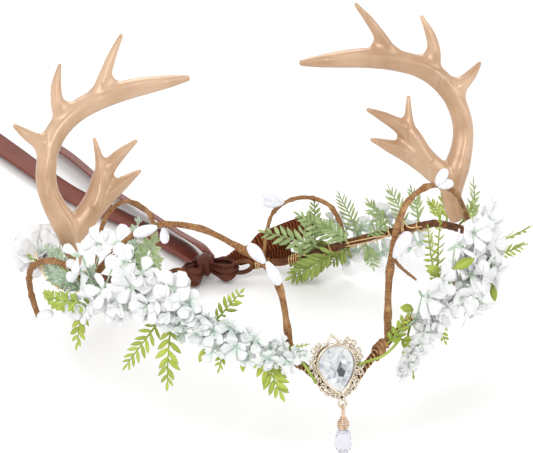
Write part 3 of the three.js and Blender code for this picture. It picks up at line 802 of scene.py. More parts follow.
# %% Twigs
TWIGS = {
    # name: radius at the foot and at the end in mm, then rows of degrees, out and height in mm
    "front_left": (1.6, 1.2, [
        (-13.6, 0, -9.6), (-14.6, -0.8, 4), (-17, -1, 24), (-21, -1, 34), (-27, -1, 40), (-39, -1, 47),
        (-51, -1.5, 44.5), (-60, -2.5, 36.5), (-71, -3.5, 21.5), (-78.5, -4, 9), (-83, -0.6, -4)]),
    "front_right": (1.7, 1.0, [
        (15, 0, -7.9), (15.2, -0.8, 4), (16, -1, 25), (18.6, -1, 44), (22.5, -1, 53.5), (29, -1, 56.5),
        (37, -1.5, 52.5), (47, -2.5, 42), (58, -3.4, 24), (66, -0.6, 0.6)]),
    "spur": (0.85, 0.6, [(16.4, -0.4, 31), (17.8, 1.6, 27), (20.4, 3, 22.5), (23, 3, 18.5)]),
    "back_right": (0.75, 1.15, [
        (164, 0, -53.6), (163, 0, -38), (161, 0, -29), (156, 0, -23), (150, 0, -21.5), (144.5, 0, -25),
        (140, 0, -40.2)]),
    "back_left": (1.1, 0.9, [
        (-164, 0, -53.6), (-163.6, 0, -38), (-162, 0, -24), (-157, 0, -15.5), (-150, 0, -11.5),
        (-143, 0, -16), (-138, 0, -38.6)]),
    "loop": (1.5, 1.3, [
        (-78.8, 0, -2.6), (-81.5, 5, 6.5), (-87, 12, 8.5), (-94, 17, 1), (-97.5, 17.5, -8),
        (-97.6, 16.5, -16), (-94, 15, -23)]),
}
FOOT_TURNS = {
    # twig: from and to, in degrees from the brow, turns and radius in mm
    "front_right": (13.6, 10.8, 3, 0.95),
    "front_left": (-13.8, -10.6, 3.4, 0.62),
    "back_right": (164, 162.4, 2.4, 0.5),
}
KNEE_SWELL = 0.26
KNEE_WIDTH = 0.016
SPAN_STEPS = 26
TWIG_WAIST = 0.94
TWIG_WAVE = 0.06
TWIG_WAVES = 37
TWIG_ROUGHNESS = 0.4
COIL_ROUGHNESS = 0.3


def roughened(rod, amount):
    grain = bpy.data.textures.new("twig_grain", "CLOUDS")
    grain.noise_scale = 0.003
    settings = {"texture": grain, "texture_coords": "LOCAL", "mid_level": 0.5}
    return apply_modifier(rod, "DISPLACE", strength=amount * MM, **settings)


def twig(name, foot, end, rows):
    spans = len(rows) - 1
    steps = SPAN_STEPS * spans
    line = smooth_path([near_band(*row) for row in rows], steps)
    knees = [i / spans for i in range(1, spans)]
    swell = []
    for i in range(steps + 1):
        share = i / steps
        bump = sum(math.exp(-((share - k) / KNEE_WIDTH) ** 2) for k in knees)
        uneven = TWIG_WAIST + KNEE_SWELL * bump + TWIG_WAVE * math.sin(share * TWIG_WAVES)
        swell.append(between(foot, end, share) * uneven)
    rods = [roughened(wire(line, MM, swell, sides=10), TWIG_ROUGHNESS)]
    if name in FOOT_TURNS:
        start, stop, turns, radius = FOOT_TURNS[name]
        coil = helix(start, stop, turns, WIRE_RADIUS + radius)
        rods.append(roughened(wire(coil, radius * MM, sides=8), COIL_ROUGHNESS))
    return join(rods)


OCHRE_TONES = (srgb(114, 74, 40), srgb(168, 122, 78), srgb(196, 154, 108))
ochre_paper = paper_bark("ochre_paper", *OCHRE_TONES, fibres=(6, 180))
for name, row in TWIGS.items():
    solid = "twig_" + name
    shoot = settle(twig(name, *row), "bent_" + solid, ochre_paper, replaces=[solid])
    print(shoot.name, "faces:", len(shoot.data.polygons))

# %% [markdown]
# ## Buds
# White buds sit on the twigs' knees in pairs. They are lumps of foam dipped in fine grains, so
# they look frosted. A sphere is drawn out into a teardrop: each ring of points is picked by
# its height and scaled, which is how one would taper it by hand.

# %% Buds
BUDS = {
    # name: base in degrees, out, height, then the ends in degrees, out and height, and radius, in mm
    "arch_left_upper": ((-20.9, 0.8, 35.4), [(-25.2, 2.2, 44.4)], 2.6),
    "arch_left_lower": ((-20.3, 0.8, 36), [(-16.8, 3.2, 26.4)], 2.5),
    "far_left_upper": ((-52, 0.8, 43.8), [(-58.9, 3, 37.7)], 2.5),
    "far_left_lower": ((-50.4, -0.4, 43.8), [(-48.6, 3, 38.4)], 2.0),
    "arch_right_upper": ((33, -0.4, 55.2), [(36.6, 1.5, 61.4)], 2.2),
    "arch_right_lower": ((33.6, 0.2, 54.8), [(38, 3.2, 54.6)], 2.1),
    "spur": ((16.6, 0.6, 30.6), [(20.2, 4, 42.4)], 2.9),
    "back_right": ((158, 0, -24.6), [(164.6, 0, -20.6), (164.4, 0, -25)], 2.2),
    "loop": ((-94.2, 15, -23), [(-86, 13.6, -15)], 2.5),
}
TEARDROP = [
    # share of length, share of radius
    (0, 0.3), (0.12, 0.55), (0.3, 0.84), (0.5, 0.99), (0.66, 1), (0.82, 0.86), (0.94, 0.55), (1, 0),
]


def pick_level(piece, height, axis=2, gap=1e-3):
    """Selects the points of the mesh in edit mode that lie at one level."""
    bpy.ops.mesh.select_mode(type="VERT")
    bpy.ops.mesh.select_all(action="DESELECT")
    bpy.ops.object.mode_set(mode="OBJECT")
    for vertex in piece.data.vertices:
        vertex.select = abs(vertex.co[axis] - height) < gap
    bpy.ops.object.mode_set(mode="EDIT")


def model_bud():
    """A teardrop of length 1 along Y and radius 1, its point at the origin."""
    drop = added(bpy.ops.mesh.primitive_uv_sphere_add, segments=16, ring_count=12, radius=1)
    heights = sorted({round(v.co.z, 4) for v in drop.data.vertices})
    bpy.ops.object.mode_set(mode="EDIT")
    for height in heights[1:-1]:
        want = np.interp((height + 1) / 2, *zip(*TEARDROP))
        pick_level(drop, height)
        factor = float(want / math.sqrt(1 - height ** 2))
        bpy.ops.transform.resize(value=(factor, factor, 1), center_override=(0, 0, height))
    bpy.ops.mesh.select_all(action="SELECT")
    bpy.ops.transform.translate(value=(0, 0, 1))
    bpy.ops.transform.resize(value=(1, 1, 0.5), center_override=(0, 0, 0))
    bpy.ops.object.mode_set(mode="OBJECT")
    shape = lift_shape(drop)
    shape["points"] = shape["points"][:, [0, 2, 1]] * (1, 1, -1)
    return shape


def frosted_white():
    frost = Finish("frosted_white", Subsurface_Weight=0.1, Subsurface_Scale=0.002)
    place = frost.place()
    grain = frost.spots(place, 1500)
    cloud = frost.noise(place, 500)
    tone = frost.mix(grain.clamped(0.2, 0.75), srgb(248, 248, 250), srgb(226, 226, 237))
    frost.paint("Base Color", tone)
    frost.paint("Roughness", 0.4 + 0.3 * cloud)
    frost.bump(grain, 0.0003, 0.35)
    return frost.material


bud_shape = model_bud()
frost = frosted_white()
for name, (foot, ends, radius) in BUDS.items():
    bed = Bed()
    base = near_band(*foot)
    for end in ends:
        along = near_band(*end) - base
        stand = frame_of(base, along, outward(foot[0]))
        bed.plant(bud_shape, stand @ sized(radius * MM, along.length))
    settle(bed.grow("bud"), "frosted_bud_" + name, frost, replaces=["bud_" + name])
print("buds:", len(BUDS), "of", len(bud_shape["faces"]), "faces")

# %% [markdown]
# ## Silk blossoms
# The blossoms are stamped silk: three to five rounded petals, cupped, with a mint throat, and
# one full bloom at the far left with rings of ruffled petals. One petal is modelled from a
# small grid, by scaling its rows to the outline and lifting them into a cup, and then given
# thickness. Every blossom plants copies of it round its heart with a little scatter, because
# silk petals never lie alike. Between the large blossoms a spray is filled with smaller ones
# in runs, as a florist packs a garland until no wire shows.

# %% One petal, one leaflet and one heart
PETAL_ROWS = [
    # share of length, width, lift
    (0, 0.16, 0.0), (0.24, 0.33, 0.02), (0.5, 0.66, 0.06), (0.74, 0.8, 0.12), (0.92, 0.64, 0.16),
    (1, 0.34, 0.17),
]
LEAFLET_ROWS = [
    # share of length, width, lift
    (0, 0.16, 0.0), (0.25, 0.8, 0.02), (0.52, 1.0, 0.03), (0.78, 0.7, 0.01), (1, 0.1, -0.04),
]
RUFFLE_WAVES = 11
TIP_FROM = 0.8
TIP_ROUNDING = 0.7
SILK_THICKNESS = 0.03
LEAFLET_THICKNESS = 0.05


def model_blade(rows, across, edge_lift, ruffle, thickness):
    """A thin blade of length 1 along Y, shaped row by row from a grid."""
    last = len(rows) - 1
    blade = flat_grid(across, last, location=(0, 0.5, 0))
    bpy.ops.object.transform_apply(location=True)
    for vertex in blade.data.vertices:
        row = round(vertex.co.y * last)
        vertex.co.y = rows[row][0]
    bpy.ops.object.mode_set(mode="EDIT")
    for share, width, lift in rows:
        pick_level(blade, share, axis=1)
        bpy.ops.transform.resize(value=(width, 1, 1), center_override=(0, share, 0))
        bpy.ops.transform.translate(value=(0, 0, lift))
    bpy.ops.object.mode_set(mode="OBJECT")
    for vertex in blade.data.vertices:
        wave = ruffle * vertex.co.y * math.sin(RUFFLE_WAVES * vertex.co.x)
        vertex.co.z += edge_lift * 4 * vertex.co.x ** 2 + wave
        if vertex.co.y > TIP_FROM:
            vertex.co.y -= TIP_ROUNDING * vertex.co.x ** 2
    apply_modifier(blade, "SOLIDIFY", thickness=thickness, offset=0)
    return lift_shape(blade)


def model_heart():
    """A small green calyx: a cone flared at its rim, of length 1 along Y."""
    size = {"vertices": 8, "radius1": 0.5, "radius2": 0.12, "depth": 1}
    cone = added(bpy.ops.mesh.primitive_cone_add, **size, rotation=(math.pi / 2, 0, 0))
    bpy.ops.object.transform_apply(rotation=True)
    bpy.ops.object.mode_set(mode="EDIT")
    bpy.ops.mesh.select_all(action="SELECT")
    bpy.ops.mesh.subdivide(number_cuts=1)
    pick_level(cone, 0, axis=1, gap=0.05)
    bpy.ops.transform.resize(value=(0.7, 1, 0.7), center_override=(0, 0, 0))
    bpy.ops.object.mode_set(mode="OBJECT")
    return lift_shape(cone)


petal_shapes = [
    model_blade(PETAL_ROWS, 4, 0.1, 0.0, SILK_THICKNESS),
    model_blade(PETAL_ROWS, 4, 0.16, 0.05, SILK_THICKNESS),
    model_blade(PETAL_ROWS, 4, -0.08, -0.04, SILK_THICKNESS),
]
ruffled_rows = [(share, width * 1.3, lift * 1.4) for share, width, lift in PETAL_ROWS]
ruffled_shape = model_blade(ruffled_rows, 6, 0.06, 0.08, SILK_THICKNESS)
leaflet_shape = model_blade(LEAFLET_ROWS, 2, 0.06, 0.0, LEAFLET_THICKNESS)
heart_shape = model_heart()
print("petal faces:", len(petal_shapes[0]["faces"]), "leaflet faces:", len(leaflet_shape["faces"]))

# %% Silk and leaf finishes
def silk(name, tip, throat, reach):
    """White silk with a green throat that fades along the petal's length."""
    cloth = Finish(name, Roughness=0.6, Subsurface_Weight=0.7, Subsurface_Scale=0.0004)
    cloth.shader.inputs["Subsurface Radius"].default_value = (1, 1, 1)
    uv = cloth.place("UV")
    along = cloth.axis(uv, "Y")
    vein = cloth.noise(cloth.stretched(uv, (16, 1.5, 1)), 1.0, 2)
    deep = 1 - (along + 0.16 * vein + 0.16 * cloth.tint()).clamped(0.1, reach)
    shade = cloth.mix(cloth.tint() * 0.8, tip, srgb(230, 233, 232))
    cloth.paint("Base Color", cloth.mix(deep, shade, throat))
    cloth.bump(vein, 0.0006, 0.5)
    return cloth.material


def leaf_green(name, dark, light, edge, rimmed=False):
    """Leaf plastic: a paler midrib, or a paler rim, and a tint of its own for each leaflet."""
    leaf = Finish(name, Subsurface_Weight=0.08, Subsurface_Scale=0.002)
    uv = leaf.place("UV")
    off_middle = (leaf.axis(uv, "X") - 0.5).size() * 2
    rib = off_middle.clamped(0.0, 0.4)
    pale = off_middle.clamped(0.4, 0.95) * 0.8 if rimmed else (1 - rib) * 0.35
    cloud = leaf.noise(leaf.place(), 220, 3)
    tone = leaf.mix(leaf.tint() * 0.7 + cloud * 0.4, dark, light)
    leaf.paint("Base Color", leaf.mix(pale, tone, edge))
    leaf.paint("Roughness", 0.45 + 0.25 * cloud)
    leaf.bump(rib + cloud * 0.4, 0.0004, 0.5)
    return leaf.material


white_silk = silk("white_silk", srgb(242, 241, 243), srgb(216, 230, 214), 0.42)
mint_silk = silk("mint_silk", srgb(239, 242, 241), srgb(204, 225, 212), 0.7)
fern_green = leaf_green("fern_green", srgb(126, 154, 46), srgb(190, 205, 84), srgb(204, 216, 126))
moss_green = leaf_green("moss_green", srgb(98, 118, 34), srgb(160, 180, 88), srgb(176, 192, 118))
sage_green = leaf_green("sage_green", srgb(122, 148, 88), srgb(180, 200, 140), srgb(196, 212, 166))
pale_sage = leaf_green("pale_sage", srgb(134, 162, 104), srgb(190, 208, 152), srgb(214, 226, 196), True)
dusty_green = leaf_green("dusty_green", srgb(108, 138, 106), srgb(170, 194, 160), srgb(224, 232, 220), True)
mint_green = leaf_green("mint_green", srgb(176, 204, 176), srgb(216, 231, 214), srgb(222, 235, 219))
print("silk and leaf finishes mixed")

# %% Sprays of blossoms
SPRAYS = {
    # name: finish, slot, stem from and to, then degrees, out, height, radius, tilt up, petals
    "left_back": (white_silk, "blossom", (-106, -66), [
        (-105.5, 11, -4.6, 11.6, 50, 13), (-74, 12, 21.4, 6.6, 10, 3), (-73, -6.4, 22.4, 8.6, 58, 5),
        (-79.5, -3, 19.5, 7, 45, 4), (-76.5, 8, 11, 6.2, 20, 4), (-75, 10, -3.4, 7, -10, 5),
        (-81, 10, -6, 5.6, -15, 4), (-69, 9, 5, 7, 0, 5)]),
    "left": (white_silk, "blossom", (-68, -38), [
        (-60, 6, 25, 7.4, 30, 5), (-56.5, 9, 17, 7.8, 10, 5), (-44, 9, 22.5, 8, 20, 5),
        (-60.5, 10, 9, 7.4, 0, 4), (-51, 10.5, 11.5, 7.4, 0, 5), (-65, 11, 11, 7, 0, 4),
        (-49, 8, 20.5, 7, 20, 4), (-46, 10, 13, 6.6, 0, 5), (-54, 7, 24, 6, 35, 4)]),
    "brow_left": (mint_silk, "floret", (-45, -12), [
        (-40, 9, 17.5, 6.2, 15, 4), (-37.5, 9, 12.5, 6, 5, 4), (-44.5, 9, 6.5, 5.6, -10, 4),
        (-33.4, 10, 6.5, 6, 0, 5), (-33.5, 10.5, -3, 5.4, -35, 3), (-29, 9.5, 8.5, 5.5, 20, 4),
        (-27.6, 10.5, 0.5, 6, -10, 5), (-23, 9, 4, 5.5, 10, 4), (-20, 10, -4, 5.2, -10, 4),
        (-14.6, 8.4, -6, 4.6, 5, 4)]),
    "right": (white_silk, "blossom", (34, 66), [
        (42.5, 9, 29.5, 7.6, 25, 5), (36.5, 8, 28, 7, 25, 4), (52.5, 10, 17, 7.6, 10, 5),
        (51.5, 12, 4.5, 7, -25, 4), (42.5, 10, 16.5, 7.4, 10, 5), (35, 11, 5.5, 7.6, -5, 5),
        (43, 12.5, -2.6, 6.8, -45, 3), (37.6, 12, -2.4, 6.8, -45, 3), (54.5, 8, 27, 6.6, 30, 4),
        (46, 11, 9, 7.6, 0, 5), (58, 9, 12, 6.6, 0, 4), (48, 8, 23.5, 7, 20, 4),
        (40, 10.5, 12.5, 7.6, 20, 5)]),
    "brow_right": (white_silk, "blossom", (15.5, 33), [
        (23, 10, 13.4, 8.6, 10, 5), (29, 9, 16.4, 6.6, 20, 4), (29.8, 11, 2.4, 6.4, -10, 4),
        (25.4, 9.4, 1, 5.6, 0, 4)]),
    "back": (white_silk, "blossom", (147, 116), [
        (130.6, 5, -26.4, 7.2, 45, 5), (141.5, 6, -50.5, 6.4, -10, 4), (145, 5, -33.4, 4.6, 30, 4),
        (137, 5.6, -34, 5, 20, 4), (126, 5.4, -27, 6, 30, 4), (132, 8, -46, 6, -10, 4),
        (120, 8, -35, 6, -5, 4)]),
}
RUNS = {
    # spray: start and end in degrees, out and height, how many, radius at each end, and scatter in mm
    "left_back": [((-80, 8, -5), (-66, 9, 3), 6, 5.6, 6, 2.5)],
    "left": [((-67, 8, 4), (-42, 8, 11), 9, 6, 5.4, 3), ((-58, 5, 18), (-44, 6, 19), 7, 6.2, 6, 3.5)],
    "brow_left": [((-44, 8, 14), (-10.5, 6.4, -5), 34, 5, 2.8, 2.6),
                  ((-44, 9, 5), (-14, 8, -9), 14, 4.6, 3, 1.8)],
    "right": [((36, 9, 6), (58, 8, 8), 8, 6, 6, 3.5), ((38, 6, 21), (60, 5, 22), 9, 6.4, 6, 4),
              ((59, 6, 30), (65, 6, 25), 5, 2.8, 2.6, 1.4)],
    "brow_right": [((34, 9, 8), (24, 9, 3), 7, 5.6, 4.6, 3)],
    "back": [((144, 5, -36), (118, 5, -26), 7, 4.6, 4.6, 2.6),
             ((145, 6, -49), (120, 6, -38), 6, 4.6, 4.4, 2)],
}
# a blossom: petals in a ring, their lean in degrees, where they start and how long they are
RING_PETALS = 5
PETAL_LEAN = 78
PETAL_ROOT = 0.06
PETAL_SIZES = (0.98, 1.16)
# each further ring: its turn and its rise in degrees, and by how much it is smaller
RING_TURN = 36
RING_RISE = 11
RING_SHRINK = 0.2
# the full bloom: how far it is turned aside in degrees, and its share of the grey tint
FULL_BLOOM_LEAN = 56
FULL_BLOOM_TINT = 0.2
RUN_PETALS = 4
# the hanging cluster: its stem in degrees, out and height, then its florets from first to last
RACEME = [(27, 2.6, 0.6), (25.6, 8.6, 0), (20.8, 10.6, -6.6), (16.8, 11.6, -13), (14, 12, -19)]
RACEME_FLORETS = 34
RACEME_BARE = 4
RACEME_TURN = 2.4
RACEME_SIZES = (5.2, 2.8)
RACEME_REACHES = (3.4, 0.8)
RACEME_HEART = 0.4
RACEME_WIRE = 0.5
# stems and stalks in mm; hearts and sepals, mostly as shares of a blossom's radius
STEM_OFF = 2.4
STEM_UP = 0.9
STEM_STEPS = 16
STEM_RADIUS = 0.6
STALK_RADIUS = 0.36
STALK_SAG = 0.8
HEEL_DEPTH = 0.3
HEART_DEPTH = 0.4
HEART_SIZE = 0.36
SEPALS = 2
SEPAL_LENGTHS = (0.5, 0.8)
SEPAL_LIMIT = 6
BROAD_LEAF = 0.42


def scatter(size):
    return dice.uniform(-size, size)


def facing(angle, tilt, lean):
    """The way a blossom looks: outwards, tipped up by tilt and turned aside by lean, in degrees."""
    level = outward(angle + lean) * math.cos(math.radians(tilt))
    return level + UP * math.sin(math.radians(tilt))


def plant_blossom(bed, place, face, radius, petals):
    """Petals round a heart, in rings; the outer ring opens widest and the inner ones stand up."""
    side = face.orthogonal().normalized()
    start = dice.uniform(0, 360)
    ring_size = min(petals, RING_PETALS)
    full = petals > RING_PETALS
    for k in range(petals):
        ring = k // ring_size
        turn = math.radians(start + 360 * k / ring_size + scatter(10) + RING_TURN * ring)
        radial = Matrix.Rotation(turn, 3, face) @ side
        lean = math.radians(PETAL_LEAN - RING_RISE * ring + scatter(12))
        along = radial * math.sin(lean) + face * math.cos(lean)
        back = face * math.sin(lean) - radial * math.cos(lean)
        size = radius * MM * dice.uniform(*PETAL_SIZES) * (1 - RING_SHRINK * ring)
        stand = frame_of(place + radial * PETAL_ROOT * size, along, back, size)
        twist = Matrix.Rotation(math.radians(scatter(16)), 4, "Y")
        shape = ruffled_shape if full else dice.choice(petal_shapes)
        tint = dice.random() * (FULL_BLOOM_TINT if full else 1)
        bed.plant(shape, stand @ twist, tint)


def stem_place(angle):
    return near_band(angle, STEM_OFF, band_height(angle) + STEM_UP)


def run_rows(start, end, count, first, last, spread):
    """Small blossoms strung from one place to another with some scatter."""
    rows = []
    for i in range(count):
        share = (i + 0.5) / count
        angle, out, height = (between(a, b, share) for a, b in zip(start, end))
        place = (angle + scatter(spread * 0.6), out + scatter(spread * 0.5), height + scatter(spread))
        rows.append((*place, between(first, last, share), scatter(35) + 5, RUN_PETALS))
    return rows


def raceme(petals, greens):
    """A hanging cluster: florets all round a stem of their own that shrink towards its tip."""
    stem = smooth_path([near_band(*row) for row in RACEME], RACEME_FLORETS)
    for i in range(RACEME_BARE, RACEME_FLORETS):
        share = i / RACEME_FLORETS
        ahead = heading_at(stem, i)
        around = Matrix.Rotation(RACEME_TURN * i, 3, ahead) @ ahead.orthogonal().normalized()
        face = (around + ahead * 0.5 + to_camera * 0.3).normalized()
        size = between(*RACEME_SIZES, share)
        place = stem[i] + around * between(*RACEME_REACHES, share) * MM
        plant_blossom(petals, place, face, size, RUN_PETALS)
        heart = frame_of(stem[i], face, UP, RACEME_HEART * size * MM)
        greens.plant(heart_shape, heart, dice.random())
    return wire(stem, RACEME_WIRE * MM, sides=6)


def spray(name, finish, slot, stem, rows):
    petals, greens = Bed(), Bed()
    low, high = sorted(stem)
    line = [stem_place(between(low, high, i / STEM_STEPS)) for i in range(STEM_STEPS + 1)]
    stalks = [wire(line, STEM_RADIUS * MM, sides=6)]
    for run in RUNS[name]:
        rows = rows + run_rows(*run)
    for angle, out, height, radius, tilt, count in rows:
        place = near_band(angle, out, height)
        face = facing(angle, tilt, FULL_BLOOM_LEAN if count > RING_PETALS else scatter(20))
        root = stem_place(min(max(angle, low), high))
        heel = place - face * HEEL_DEPTH * radius * MM
        plant_blossom(petals, place, face, radius, count)
        heart = frame_of(between(heel, place, HEART_DEPTH), face, UP, HEART_SIZE * radius * MM)
        greens.plant(heart_shape, heart, dice.random())
        for _ in range(SEPALS):
            heading = face * dice.uniform(-0.2, 0.5) + Vector((scatter(1), scatter(1), scatter(1)))
            length = min(radius, SEPAL_LIMIT) * MM * dice.uniform(*SEPAL_LENGTHS)
            blade = frame_of(heel, heading, face, length)
            greens.plant(leaflet_shape, blade @ sized(BROAD_LEAF, 1), dice.random())
        bend = between(root, heel, 0.5) - UP * (STALK_SAG * MM)
        stalks.append(wire(smooth_path([root, bend, heel], 6), STALK_RADIUS * MM, sides=6))
    if name == "brow_right":
        stalks.append(raceme(petals, greens))
    sewn = petals.grow("petals")
    settle(sewn, "blossoms_silk_" + name, finish, replaces=["blossoms_" + name])
    settle(join([greens.grow("hearts"), *stalks]), "blossom_stems_" + name, mint_green)
    return sewn


for name, row in SPRAYS.items():
    flowers = spray(name, *row)
    print(flowers.name, "faces:", len(flowers.data.polygons))

# %% [markdown]
# ## Ferns
# The fronds are moulded sprays with paired leaflets. The front ones have plump yellow-green
# leaflets, the ones behind narrow sage ones, and some broad leaves on the left are lobed like
# lace. A frond is a thin rib, drawn as a tapering wire from the circlet to its tip, with
# leaflets planted along it in pairs that shrink to the tip. A lobed leaflet is three of them.

# %% Ferns
SEAT = WIRE_RADIUS + 0.3
FERNS = {
    # name: degrees on the circlet, side of the wire (0 out, 90 up), distance from its middle,
    # tip in degrees, out and height, half width, pairs, sag, leaflet breadth, finish, slot
    "fern_brow_left": (-22, -60, SEAT, -16.6, 9, -20.6, 6.4, 6, 1, 0.36, fern_green, "fern"),
    "fern_low_left": (-47.6, -70, SEAT, -46, 8.5, -23, 5.6, 6, 1, 0.34, fern_green, "fern"),
    "fern_low_far_left": (-51, -70, SEAT, -58, 9.6, -20, 5, 7, 1, 0.28, fern_green, "fern"),
    "fern_high_left": (-35.6, 90, SEAT, -26.6, 6, 24.2, 4.4, 6, -1, 0.34, fern_green, "fern"),
    "fern_side_left": (-67, 60, SEAT, -88, 14, -6.5, 4.6, 7, 9, 0.64, fern_green, "fern"),
    "fern_tail_left": (-82, -90, SEAT, -80.6, 6, -26.4, 4.8, 5, 1, 0.46, fern_green, "fern"),
    "leaf_left": (-60, 100, SEAT, -56, -5.4, 33, 8, 5, 1, 0.66, pale_sage, "sage"),
    "leaf_antler_left": (-88, 17, 4, -97, 9.4, 4.6, 6, 5, -1, 0.7, dusty_green, "sage"),
    "fern_back_low": (143, -40, SEAT, 157, 7, -55, 6.6, 8, 1, 0.4, moss_green, "sage"),
    "fern_back_high": (147, 125, SEAT, 164, -3.6, -37, 5.2, 7, 1, 0.32, sage_green, "sage"),
    "fern_back_tip": (153.5, 180, SEAT, 150, -9, -25, 4.4, 6, -1.5, 0.34, sage_green, "sage"),
    "fern_back_side": (137, 60, SEAT, 143, 3.4, -20.5, 4.6, 8, 1, 0.18, sage_green, "sage"),
    "fern_back_right": (121, 90, SEAT, 127, 1, -10.5, 4.6, 8, 1, 0.19, sage_green, "sage"),
    "fern_front_right": (35.3, 120, SEAT, 26.4, 4.6, 42, 4.2, 10, -1, 0.26, fern_green, "fern"),
    "fern_side_right": (88, 70, SEAT, 90, 2.4, 16, 4.2, 6, 1, 0.24, sage_green, "fern"),
    "fern_out_right": (74, 10, SEAT, 68, 21, 13, 5, 9, 2, 0.26, fern_green, "fern"),
    "fern_brow_right": (17.8, -40, SEAT, 21, 9.5, -9.6, 3.6, 4, 1, 0.4, fern_green, "fern"),
}
SPRIGS = {
    # piece: finish, then rows as above without finish and slot
    "sprigs_back": (sage_green, [
        (149.5, 90, SEAT, 150, 3, -24.8, 4, 7, 1, 0.34), (135, -60, SEAT, 133.4, 4, -51, 4, 6, 1, 0.3),
        (116, 90, SEAT, 120, 2, -7.5, 4, 7, 1, 0.24), (141, 140, SEAT, 154, -2, -29, 4.6, 8, 1, 0.34),
        (139, 160, SEAT, 147, -4, -31, 4.2, 7, 1, 0.34), (128, 60, SEAT, 134, 2, -20, 4.4, 7, 1, 0.24),
        (124, -60, SEAT, 127, 6, -41, 4.2, 6, 1, 0.3), (133, 150, SEAT, 126, -4, -24, 4, 6, 1, 0.3)]),
    "sprigs_back_low": (moss_green, [
        (143, -120, SEAT, 155.5, -7, -56, 5.8, 8, -1, 0.34), (139, -90, SEAT, 145, 2, -52, 4.6, 6, 1, 0.3)]),
    "sprigs_dusty": (dusty_green, [
        (-62, 110, SEAT, -61.6, -4.6, 40, 5, 5, 1, 0.64), (-85, 60, SEAT, -78.6, 9, 10, 5, 4, 1, 0.66),
        (-87, 30, SEAT, -92, 11, 0, 5, 4, 1, 0.66), (-80, 30, SEAT, -86, 12, 5, 5, 4, 1, 0.66),
        (-75, 70, SEAT, -72, 6, 15, 5, 4, 1, 0.66), (-55, 40, SEAT, -52, 10, 12, 4.6, 4, 1, 0.66),
        (-44, -20, SEAT, -41, 11, 3, 4.4, 4, 1, 0.64), (40, 40, SEAT, 38, 10, 14, 4.4, 4, 1, 0.64),
        (48, 30, SEAT, 50, 11, 12, 4.4, 4, 1, 0.64)]),
    "sprigs_front": (fern_green, [
        (34.6, 100, SEAT, 33, 2.6, 42, 3.4, 9, -1, 0.24), (68, 0, SEAT, 71, 19, 2, 3.4, 7, 2, 0.26),
        (30, -60, SEAT, 30, 9, -12, 3.2, 5, 1, 0.4), (13.5, 30, SEAT, 18, 6.4, 5, 4.2, 4, 1, 0.5),
        (97, 60, SEAT, 94, 6, 3, 3.6, 6, 1, 0.3), (100, 90, SEAT, 98.6, 0, 1, 3.6, 6, 1, 0.3),
        (103, 100, SEAT, 105, -1, -1, 3.4, 6, 1, 0.3), (106, 110, SEAT, 109, -3, -5, 3.4, 6, 1, 0.3),
        (-17, 60, SEAT, -9.4, 9, 1.8, 1.8, 6, 0.5, 0.3), (-92, 40, SEAT, -99, 8, -5, 4, 6, 1, 0.44),
        (-31, -50, SEAT, -32, 10, -11, 3, 4, 1, 0.44), (22, -60, SEAT, 18.6, 11, -21, 3, 4, -3, 0.44),
        (-88, 70, SEAT, -88, 8, 5, 3.4, 5, 1, 0.44)]),
}
SINGLE_LEAVES = [
    # degrees on the circlet, then where the leaf starts and where its tip is, in degrees, out and height
    (33, (34.2, 8, 18.9), (39.6, 12.4, 21)), (28, (29.6, 6, 18.6), (24, 9, 26)),
    (19, (20.4, 6, 7.4), (15.4, 8.4, 11.4)), (50, (50, 12, 1), (48, 14.6, -5)),
    (-36, (-36, 8, -3), (-37, 10, -9)), (-26, (-26, 8.4, -5), (-26, 10, -11)),
]
TENDRILS = [
    # rows of degrees, out and height in mm, of bare green stems
    [(-12.5, 2, -9.4), (-11, 5, -8.4), (-9, 7, -13), (-7.4, 6, -18)],
    [(4.6, 4, -13), (6.4, 7.4, -10.4), (10.5, 8.6, -8.6), (15.6, 7, -4), (17, 1.6, -4.6)],
    [(-96, 2, -9), (-99, 10, -5), (-101, 14, -3.4), (-104, 16.4, -3)],
]
# tendrils and ribs: radius in mm, and how a rib tapers
TENDRIL_RADIUS = 0.6
RIB_RADIUS = 0.45
RIB_STEPS = 14
RIB_FOOT = 1.15
RIB_TAPER = 0.05
# leaflets: how far a frond turns to the view, lean in degrees, then shares of length and breadth
FROND_TURN = 0.6
LEAFLET_LEAN = 50
LEAFLET_LONGEST = 1.3
LEAFLET_WIDEST = 0.44
END_LEAFLET = 0.8
LOBED_FROM = 0.6
LOBE_PLACE = 0.3
LOBE_TURN = 0.9
LOBE_SIZE = 0.6


